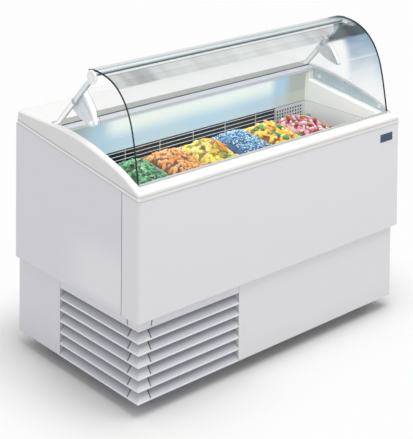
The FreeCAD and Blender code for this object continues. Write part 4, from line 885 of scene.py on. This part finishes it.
def mound(i, seed, peak, lumps, radius, amp, tones, crevice_shade, extra=None, smoothness=0.5):
    """one pan's heap; returns the mesh data and a height lookup"""
    rnd = random.Random(seed)
    cx = (i - 3.5) * PITCH
    hx, y0, y1 = 0.0800, MID_Y - 0.172, MID_Y + 0.172
    nx, ny = 64, 146
    U, Vv = np.meshgrid(np.linspace(-1, 1, nx), np.linspace(-1, 1, ny), indexing="ij")
    X, Y = cx + U * hx, (y0 + y1) / 2 + Vv * (y1 - y0) / 2
    Z = crown(U, Y, peak)
    wob = np.array([[noise.noise(Vector((x * 28, y * 28, seed))) for y in Y[0]] for x in X[:, 0]])
    Z = Z + wob * 0.0045 * (1 - np.abs(U) ** 4)
    best = np.zeros_like(Z)
    own = -np.ones(Z.shape, int)
    pts = []
    tries = 0
    while len(pts) < lumps and tries < 8000:
        tries += 1
        x, y = cx + rnd.uniform(-1, 1) * hx * 0.93, rnd.uniform(y0 + 0.006, y1 - 0.004)
        r = rnd.uniform(*radius)
        if all((x - a) ** 2 + (y - b) ** 2 > (smoothness * (r + c)) ** 2 for a, b, c in pts):
            pts.append((x, y, r))
    cols = []
    for k, (x, y, r) in enumerate(pts):
        el = rnd.uniform(0.75, 1.3)
        ang = rnd.uniform(0, math.pi)
        dx, dy = X - x, Y - y
        p = (dx * math.cos(ang) + dy * math.sin(ang)) / el
        q = (-dx * math.sin(ang) + dy * math.cos(ang)) * el
        d2 = (p * p + q * q) / (r * r)
        hgt = np.sqrt(np.clip(1 - d2, 0, 1)) * amp * rnd.uniform(0.65, 1.15) * (r / radius[1])
        m = hgt > best
        best = np.where(m, hgt, best)
        own = np.where(m, k, own)
        a, b = rnd.choice(tones), rnd.choice(tones)
        t = rnd.random()
        cols.append([a[c] * t + b[c] * (1 - t) for c in range(3)])
    fade = np.clip((1 - np.abs(U)) * 7, 0, 1) * np.clip((1 - np.abs(Vv)) * 12, 0, 1)
    fine = np.array([[noise.noise(Vector((x * 160, y * 160, seed + 5))) for y in Y[0]] for x in X[:, 0]])
    Z = Z + best * fade + fine * 0.0010
    h = Heap()
    C = np.zeros((*Z.shape, 3))
    # painted shade: the low ground between the lumps takes the dark crevice colour
    base_c = np.array(crevice_shade)
    rel = np.clip(best / (amp * 0.55), 0, 1)
    for k, c in enumerate(cols):
        C[own == k] = c
    C[own < 0] = base_c
    C = base_c * (1 - rel[..., None]) + C * rel[..., None]
    C *= (1 + 0.16 * fine)[..., None]
    verts = np.stack([X, Y, Z], -1).reshape(-1, 3)
    # skirt that closes the heap down into the pan
    faces = []
    for a in range(nx - 1):
        for b in range(ny - 1):
            p = a * ny + b
            faces.append((p, p + ny, p + ny + 1, p + 1))
    border = [a * ny for a in range(nx)] + [(nx - 1) * ny + b for b in range(1, ny)] + \
             [a * ny + ny - 1 for a in range(nx - 2, -1, -1)] + [b for b in range(ny - 2, 0, -1)]
    low = []
    for sx, sy, zz in ((0.990, 0.995, 0.6686), (0.86, 0.955, 0.6680), (0.83, 0.945, 0.600)):
        low += [(cx + (verts[p][0] - cx) * sx, MID_Y + (verts[p][1] - MID_Y) * sy, zz) for p in border]
    K, B = len(verts), len(border)
    ring = [list(border)] + [[K + r * B + j for j in range(B)] for r in range(3)]
    for r in range(3):
        for j in range(B):
            faces.append((ring[r][(j + 1) % B], ring[r][j], ring[r + 1][j], ring[r + 1][(j + 1) % B]))
    faces.append(tuple(ring[3])[::-1])
    h.add([tuple(v) for v in verts] + low, faces, [tuple(c) for c in C.reshape(-1, 3)] + [tuple(base_c * 0.8)] * len(low))

    def height(x, y):
        a = min(max((x - cx) / hx * 0.5 + 0.5, 0), 1) * (nx - 1)
        b = min(max((y - y0) / (y1 - y0), 0), 1) * (ny - 1)
        return float(Z[int(round(a)), int(round(b))])
    return h, height, rnd, cx


EYE = Vector((-3.25119, -3.40625, 2.26273))


def onto(x, y, height, cx, lim=0.064):
    """slides a point from the plane z = 0.705 along the view to the heap's surface"""
    p0 = Vector((x, y, 0.705))
    dirn = (EYE - p0) / (EYE.z - 0.705)
    z = 0.705
    for _ in range(8):
        q = p0 + dirn * (z - 0.705)
        z = 0.5 * z + 0.5 * height(q.x, q.y)
    return min(max(q.x, cx - lim), cx + lim), min(max(q.y, MID_Y - 0.165), MID_Y + 0.16)


def cream_material(name, gloss=0.46, wet=0.12, grain=0.6):
    g = G(name)
    at = g.n("VertexColor")
    at.layer_name = "Col"
    px, py, pz = g.xyz()
    # painted shade: heaps left of x = 0.08 are painted darker
    base = g.mix(g.step(px, 0.08, 0.17, 0.10, 0.0), at.outputs[0], (0.0, 0.0, 0.0))
    tone = g.noise(170.0, 4.0, 0.65)
    lighter = g.mix(0.26, base, (1.0, 1.0, 1.0))
    col = g.mix(g.step(tone, 0.52, 0.80, 0.0, 0.50), base, lighter)
    dark = g.mix(0.60, base, (0.0, 0.0, 0.0))
    col = g.mix(g.step(tone, 0.47, 0.27, 0.0, 0.50), col, dark)
    r = g.step(g.noise(180.0, 3.0), 0.3, 0.7, gloss - 0.12, gloss + 0.14)
    n = g.bump(g.noise(340.0, 4.0, 0.6), 0.0012, grain)
    n = g.bump(g.voronoi(950.0), 0.0003, 0.4, n)
    # faint painted glow in the cream's own colour
    return g.done(g.bsdf(col, r, normal=n, coat=wet, coat_rough=0.22, sss=0.06, emit=col, emit_s=0.05))


CREAM = cream_material("ice_cream")

# 1: mint green, with dark fruit
h, H, rnd, cx = mound(1, 11, 0.7165, 330, (0.0045, 0.0082), 0.0055,
                      [(0.05, 0.34, 0.09), (0.09, 0.44, 0.15), (0.19, 0.56, 0.26), (0.38, 0.72, 0.44), (0.03, 0.26, 0.07)], (0.006, 0.075, 0.020))
for x, y in ((-.329, .002), (-.376, -.079), (-.361, -.118), (-.427, -.086), (-.436, -.136), (-.445, -.169), (-.356, -.148),
             (-.390, .018), (-.344, -.019), (-.369, -.010), (-.418, -.030), (-.400, -.205), (-.465, -.060), (-.470, -.120), (-.385, -.235)):
    x1, y = onto(x, y, H, cx)
    for k in range(2):
        dx, dy = rnd.uniform(-.007, .007) * k, rnd.uniform(-.007, .007) * k
        blob(h, (x1 + dx, y + dy, H(x1 + dx, y + dy) + 0.0015), (rnd.uniform(.0035, .0052), rnd.uniform(.0028, .0042), .0034),
             (0, 0, rnd.uniform(0, 3)), rnd.choice([(0.20, 0.03, 0.02), (0.12, 0.03, 0.02), (0.28, 0.09, 0.04)]), rnd.uniform(0, 9))
for k in range(60):
    x, y = cx + rnd.uniform(-.058, .058), MID_Y + rnd.uniform(-.15, .14)
    blob(h, (x, y, H(x, y) + 0.001), (.0040, .0025, .0022), (rnd.uniform(-.5, .5), rnd.uniform(-.5, .5), rnd.uniform(0, 3)),
         rnd.choice([(0.42, 0.72, 0.48), (0.10, 0.42, 0.17), (0.24, 0.60, 0.33)]), rnd.uniform(0, 9), 1, 0.3)
h.make("ice_cream_heap_1", CREAM, "lift_pan_1")

# 2: salmon orange chunks
h, H, rnd, cx = mound(2, 23, 0.7140, 190, (0.0065, 0.0112), 0.0092,
                      [(0.84, 0.30, 0.045), (0.88, 0.38, 0.075), (0.91, 0.46, 0.12), (0.94, 0.54, 0.18), (0.72, 0.21, 0.03)], (0.19, 0.025, 0.006))
for k in range(26):
    x, y = cx + rnd.uniform(-.058, .058), MID_Y + rnd.uniform(-.15, .14)
    blob(h, (x, y, H(x, y) + 0.001), (rnd.uniform(.002, .0045), .002, .002), (0, 0, rnd.uniform(0, 3)),
         rnd.choice([(0.25, 0.03, 0.02), (0.45, 0.07, 0.04)]), rnd.uniform(0, 9), 1)
for k in range(36):
    x, y = cx + rnd.uniform(-.056, .056), MID_Y + rnd.uniform(-.15, .14)
    blob(h, (x, y, H(x, y) + 0.001), (rnd.uniform(.006, .010), rnd.uniform(.004, .007), .005),
         (rnd.uniform(-.6, .6), rnd.uniform(-.6, .6), rnd.uniform(0, 3)),
         rnd.choice([(0.90, 0.46, 0.15), (0.93, 0.55, 0.24), (0.82, 0.33, 0.09)]), rnd.uniform(0, 9), 2, 0.35)
h.make("ice_cream_heap_2", CREAM, "lift_pan_2")

# 3: lemon scoops, orange slices, leaves
h, H, rnd, cx = mound(3, 37, 0.7110, 120, (0.0085, 0.0135), 0.0105,
                      [(0.93, 0.72, 0.05), (0.95, 0.80, 0.12), (0.96, 0.86, 0.26), (0.90, 0.62, 0.03)], (0.28, 0.16, 0.006), smoothness=0.42)
for pts3, wide in ((((-.061, -.008), (-.020, .003), (-.006, -.016), (-.012, -.054), (-.036, -.105)), .0085),
                   (((-.065, -.040), (-.045, -.056), (-.050, -.093), (-.078, -.153)), .0080)):
    on = [onto(a, b, H, cx) for a, b in pts3]
    crescent(h, [Vector((a, b, H(a, b) + 0.0085)) for a, b in on], wide, (0.90, 0.17, 0.004), (0.95, 0.36, 0.012))
for x, y, l, w, a in ((-.071, .008, .030, .010, 2.3), (-.086, -.082, .022, .007, 0.5), (-.092, -.142, .034, .009, -0.6), (-.100, -.176, .026, .007, -0.5),
                      (-.042, -.142, .022, .012, 0.9), (-.120, -.174, .026, .011, 0.2), (-.104, -.050, .020, .009, 1.3), (-.030, .016, .024, .009, 2.6)):
    x1, y = onto(x, y, H, cx)
    leaf(h, (x1, y, H(x1, y) + 0.006), l, w, (rnd.uniform(-.2, .2), rnd.uniform(-.2, .2), a),
         rnd.choice([(0.05, 0.22, 0.07), (0.12, 0.38, 0.14), (0.04, 0.12, 0.03), (0.30, 0.52, 0.20)]))
h.make("ice_cream_heap_3", CREAM, "lift_pan_3")

# 4: blue with pale and dark chips
h, H, rnd, cx = mound(4, 41, 0.7180, 60, (0.009, 0.015), 0.0050, [(0.06, 0.34, 0.66), (0.10, 0.46, 0.80), (0.04, 0.22, 0.50)], (0.012, 0.10, 0.30))
for k in range(640):
    x, y = cx + rnd.uniform(-.064, .064), MID_Y + rnd.uniform(-.155, .150)
    t = rnd.random()
    col = (0.92, 1.0, 1.0) if t < 0.56 else (0.40, 0.80, 0.96) if t < 0.82 else (0.015, 0.08, 0.24) if t < 0.89 else (0.06, 0.42, 0.75)
    blob(h, (x, y, H(x, y) + rnd.uniform(0.0, 0.003)), (rnd.uniform(.0035, .0065), rnd.uniform(.0016, .0026), .0016),
         (rnd.uniform(-.7, .7), rnd.uniform(-.7, .7), rnd.uniform(0, 3.14)), col, rnd.uniform(0, 9), 1, 0.25, 0.2)
h.make("ice_cream_heap_4", CREAM, "lift_pan_4")

# 5: mango with green strips
h, H, rnd, cx = mound(5, 53, 0.7130, 150, (0.0070, 0.0112), 0.0085,
                      [(0.94, 0.58, 0.03), (0.96, 0.68, 0.06), (0.97, 0.78, 0.12), (0.97, 0.88, 0.28), (0.90, 0.44, 0.02)], (0.30, 0.08, 0.003))
for (x0, ya), (x1, yb), w in (((.233, .004), (.220, -.049), .011), ((.227, -.055), (.217, -.134), .012), ((.212, -.143), (.196, -.196), .013),
                              ((.290, -.020), (.284, -.088), .009), ((.284, -.125), (.271, -.190), .009), ((.200, -.005), (.197, -.040), .008)):
    (x0, ya), (x1, yb) = onto(x0, ya, H, cx), onto(x1, yb, H, cx)
    mx, my = (x0 + x1) / 2, (ya + yb) / 2
    ang = math.atan2(yb - ya, x1 - x0)
    ln = math.hypot(x1 - x0, yb - ya) / 2 * 0.92
    blob(h, (mx, my, H(mx, my) + 0.002), (ln, w * 0.85, .0062), (0, 0, ang), (0.04, 0.33, 0.08), rnd.uniform(0, 9), 3, 0.22, 0.3)
for (x0, ya), (x1, yb), w in (((.265, .004), (.247, -.071), .010), ((.254, -.090), (.232, -.171), .010), ((.180, -.060), (.172, -.120), .008)):
    (x0, ya), (x1, yb) = onto(x0, ya, H, cx), onto(x1, yb, H, cx)
    mx, my = (x0 + x1) / 2, (ya + yb) / 2
    ang = math.atan2(yb - ya, x1 - x0)
    blob(h, (mx, my, H(mx, my) + 0.003), (math.hypot(x1 - x0, yb - ya) / 2, w * 0.8, .006), (0, 0, ang), (0.95, 0.50, 0.06), rnd.uniform(0, 9), 3, 0.25, 0.3)
for k in range(34):
    x, y = cx + rnd.uniform(-.056, .056), MID_Y + rnd.uniform(-.15, .14)
    blob(h, (x, y, H(x, y) + 0.001), (rnd.uniform(.005, .009), rnd.uniform(.003, .006), .004),
         (rnd.uniform(-.6, .6), rnd.uniform(-.6, .6), rnd.uniform(0, 3)),
         rnd.choice([(0.95, 0.76, 0.34), (0.94, 0.62, 0.16), (0.90, 0.42, 0.08)]), rnd.uniform(0, 9), 2, 0.35)
h.make("ice_cream_heap_5", CREAM, "lift_pan_5")

# 6: strawberry pink, with berries
h, H, rnd, cx = mound(6, 67, 0.7080, 150, (0.0065, 0.0108), 0.0085,
                      [(0.82, 0.28, 0.36), (0.92, 0.50, 0.56), (0.96, 0.72, 0.74), (0.70, 0.14, 0.20), (0.97, 0.86, 0.86)], (0.22, 0.015, 0.03))
for x, y, r, tone in ((.380, -.017, .0125, 0), (.437, -.041, .0115, 1), (.439, -.098, .0115, 0), (.359, -.078, .0080, 1), (.392, -.113, .0085, 1),
                      (.422, -.162, .0100, 1), (.440, -.184, .0090, 0), (.360, -.180, .0105, 0), (.400, .010, .0080, 1)):
    x1, y = onto(x, y, H, cx, 0.060)
    z = H(x1, y) + r * 0.35
    blob(h, (x1, y, z), (r * 1.15, r * 0.9, r * 0.85), (0.1, rnd.uniform(-.5, .1), rnd.uniform(0, 6)),
         (0.62, 0.03, 0.03) if tone == 0 else (0.72, 0.14, 0.05), rnd.uniform(0, 9), 3, 0.15, 0.4, 0.35)
    for k in range(4):
        leaf(h, (x1 - r * 0.4 + rnd.uniform(-.004, .004), y + rnd.uniform(-.005, .005), z + r * 0.72), r * 1.0, r * 0.4,
             (rnd.uniform(-.5, .5), rnd.uniform(-.6, .3), rnd.uniform(0, 6)), rnd.choice([(0.45, 0.48, 0.06), (0.62, 0.60, 0.10), (0.16, 0.34, 0.06)]))
    if tone:
        blob(h, (x1 + rnd.uniform(-.005, .005), y - 0.005, z + r * 0.6), (r * .55, r * .45, r * .35), (0, 0, rnd.uniform(0, 3)), (0.92, 0.50, 0.05), 1.0, 2, 0.3)
for k in range(30):
    x, y = cx + rnd.uniform(-.056, .056), MID_Y + rnd.uniform(-.15, .14)
    blob(h, (x, y, H(x, y) + 0.001), (rnd.uniform(.005, .008), rnd.uniform(.0035, .006), .004),
         (rnd.uniform(-.6, .6), rnd.uniform(-.6, .6), rnd.uniform(0, 3)),
         rnd.choice([(0.95, 0.84, 0.86), (0.88, 0.54, 0.60), (0.80, 0.30, 0.38)]), rnd.uniform(0, 9), 2, 0.35)
h.make("ice_cream_heap_6", CREAM, "lift_pan_6")

# ------------------------------------------------------------------ floor, world, light
g = G("floor_white")
px_, py_, pz_ = g.xyz()
ox = g.math("MAXIMUM", g.math("SUBTRACT", g.math("ABSOLUTE", px_), 0.64), 0.0)
oy = g.math("MAXIMUM", g.math("SUBTRACT", g.math("ABSOLUTE", py_), 0.33), 0.0)
rad = g.math("POWER", g.math("ADD", g.math("MULTIPLY", ox, ox), g.math("MULTIPLY", oy, oy)), 0.5)
far = g.step(rad, 0.0, 0.44)
fl = g.bsdf((0.895, 0.888, 0.885), 0.75, normal=g.bump(g.noise(60.0, 3.0), 0.0005, 0.05), spec=0.15)
em = g.n("Emission")
em.inputs["Color"].default_value = (0.985, 0.985, 0.985, 1)
em.inputs["Strength"].default_value = 1.0
mx = g.n("MixShader")
g.put(mx.inputs[0], far)
g.put(mx.inputs[1], fl)
g.put(mx.inputs[2], em.outputs[0])
floor_mat = g.done(mx.outputs[0])
me = bpy.data.meshes.new("floor")
S = 30.0
me.from_pydata([(-S, -S, -0.0008), (S, -S, -0.0008), (S, S, -0.0008), (-S, S, -0.0008)], [], [(0, 1, 2, 3)])
floor = bpy.data.objects.new("floor", me)
scene.collection.objects.link(floor)
me.materials.append(floor_mat)

world = bpy.data.worlds.new("studio")
scene.world = world
world.use_nodes = True
nt = world.node_tree
nt.nodes.clear()
wo = nt.nodes.new("ShaderNodeOutputWorld")
tc = nt.nodes.new("ShaderNodeTexCoord")
sp = nt.nodes.new("ShaderNodeSeparateXYZ")
nt.links.new(tc.outputs["Generated"], sp.inputs[0])
rp = nt.nodes.new("ShaderNodeValToRGB")
mr = nt.nodes.new("ShaderNodeMapRange")
mr.inputs["From Min"].default_value = -1.0
mr.inputs["From Max"].default_value = 1.0
nt.links.new(sp.outputs[2], mr.inputs["Value"])
nt.links.new(mr.outputs[0], rp.inputs[0])
cr = rp.color_ramp
for _ in range(2):
    cr.elements.new(0.5)
for e, (p, c) in zip(cr.elements, ((0.0, (0.80, 0.80, 0.81)), (0.50, (0.78, 0.78, 0.80)), (0.62, (0.62, 0.63, 0.65)), (1.0, (0.80, 0.80, 0.80)))):
    e.position = p
    e.color = (*c, 1)
b1 = nt.nodes.new("ShaderNodeBackground")
nt.links.new(rp.outputs[0], b1.inputs["Color"])
b1.inputs["Strength"].default_value = 0.95
b2 = nt.nodes.new("ShaderNodeBackground")
b2.inputs["Color"].default_value = (0.985, 0.985, 0.985, 1)
lp = nt.nodes.new("ShaderNodeLightPath")
ms = nt.nodes.new("ShaderNodeMixShader")
nt.links.new(lp.outputs["Is Camera Ray"], ms.inputs[0])
nt.links.new(b1.outputs[0], ms.inputs[1])
nt.links.new(b2.outputs[0], ms.inputs[2])
nt.links.new(ms.outputs[0], wo.inputs[0])


def area(name, loc, target, size, power, color=(1, 1, 1)):
    d = bpy.data.lights.new(name, "AREA")
    d.shape = "RECTANGLE"
    d.size, d.size_y = size
    d.energy = power
    d.color = color
    o = bpy.data.objects.new(name, d)
    scene.collection.objects.link(o)
    o.location = loc
    o.rotation_euler = (Vector(target) - Vector(loc)).to_track_quat("-Z", "Y").to_euler()
    return o


area("key", (-0.1, -1.25, 4.3), (0.0, 0.0, 0.6), (3.6, 2.6), 95.0, (1.0, 0.995, 0.985))
area("well_lamp", (-0.02, 0.080, 0.815), (0.0, -0.25, 0.66), (0.90, 0.04), 0.7, (0.95, 1.0, 1.0))
area("fill_front", (1.6, -4.2, 1.6), (0.1, -0.3, 0.45), (3.0, 2.0), 4.0, (0.98, 0.99, 1.0))

# ------------------------------------------------------------------ camera
cam_d = bpy.data.cameras.new("camera")
cam = bpy.data.objects.new("camera", cam_d)
scene.collection.objects.link(cam)
scene.camera = cam
AZ, EL, ROLL, FOC = 0.7009975, 0.0442347, 0.0076112, 1285.07
PCX, PCY = 139.585, -225.694
W, Hh = 413.0, 439.0
LOC = Vector((-3.25119, -3.40625, 2.26273))
d = Vector((math.sin(AZ) * math.cos(EL), math.cos(AZ) * math.cos(EL), -math.sin(EL)))
right = Vector((math.cos(AZ), -math.sin(AZ), 0))
up = right.cross(d)
c_, s_ = math.cos(ROLL), math.sin(ROLL)
r2, u2 = c_ * right + s_ * up, -s_ * right + c_ * up
rot = Matrix((r2, u2, -d)).transposed()
cam.location = LOC
cam.rotation_mode = "QUATERNION"
cam.rotation_quaternion = rot.to_quaternion()
cam_d.sensor_width = 36.0
cam_d.lens = 36.0 * FOC / max(W, Hh)
cam_d.clip_start, cam_d.clip_end = 0.1, 100.0
SHX, SHY = (W / 2 - PCX) / max(W, Hh), (PCY - Hh / 2) / max(W, Hh)
cam_d.shift_x, cam_d.shift_y = SHX, SHY


def only_here(path, value):
    fc = cam_d.driver_add(path)
    for md in list(fc.modifiers):
        fc.modifiers.remove(md)
    drv = fc.driver
    drv.type = "SUM"
    var = drv.variables.new()
    var.name = "x"
    var.type = "SINGLE_PROP"
    var.targets[0].id_type = "OBJECT"
    var.targets[0].id = cam
    var.targets[0].data_path = "location[0]"
    # keys closer together than 0.01 would be merged, so they stand 0.03 apart
    keys = ((LOC.x - 0.50, 0.0), (LOC.x - 0.03, value), (LOC.x + 0.03, 0.0), (LOC.x + 0.50, 0.0))
    fc.keyframe_points.add(len(keys))
    for kp, (x, v) in zip(fc.keyframe_points, keys):
        kp.co = (x, v)
        kp.interpolation = "CONSTANT"
    fc.extrapolation = "CONSTANT"
    fc.update()


only_here("shift_x", SHX)
only_here("shift_y", SHY)

scene.view_settings.view_transform = "Standard"
scene.view_settings.look = "None"
scene.view_settings.exposure = 0.0
scene.view_settings.gamma = 1.0
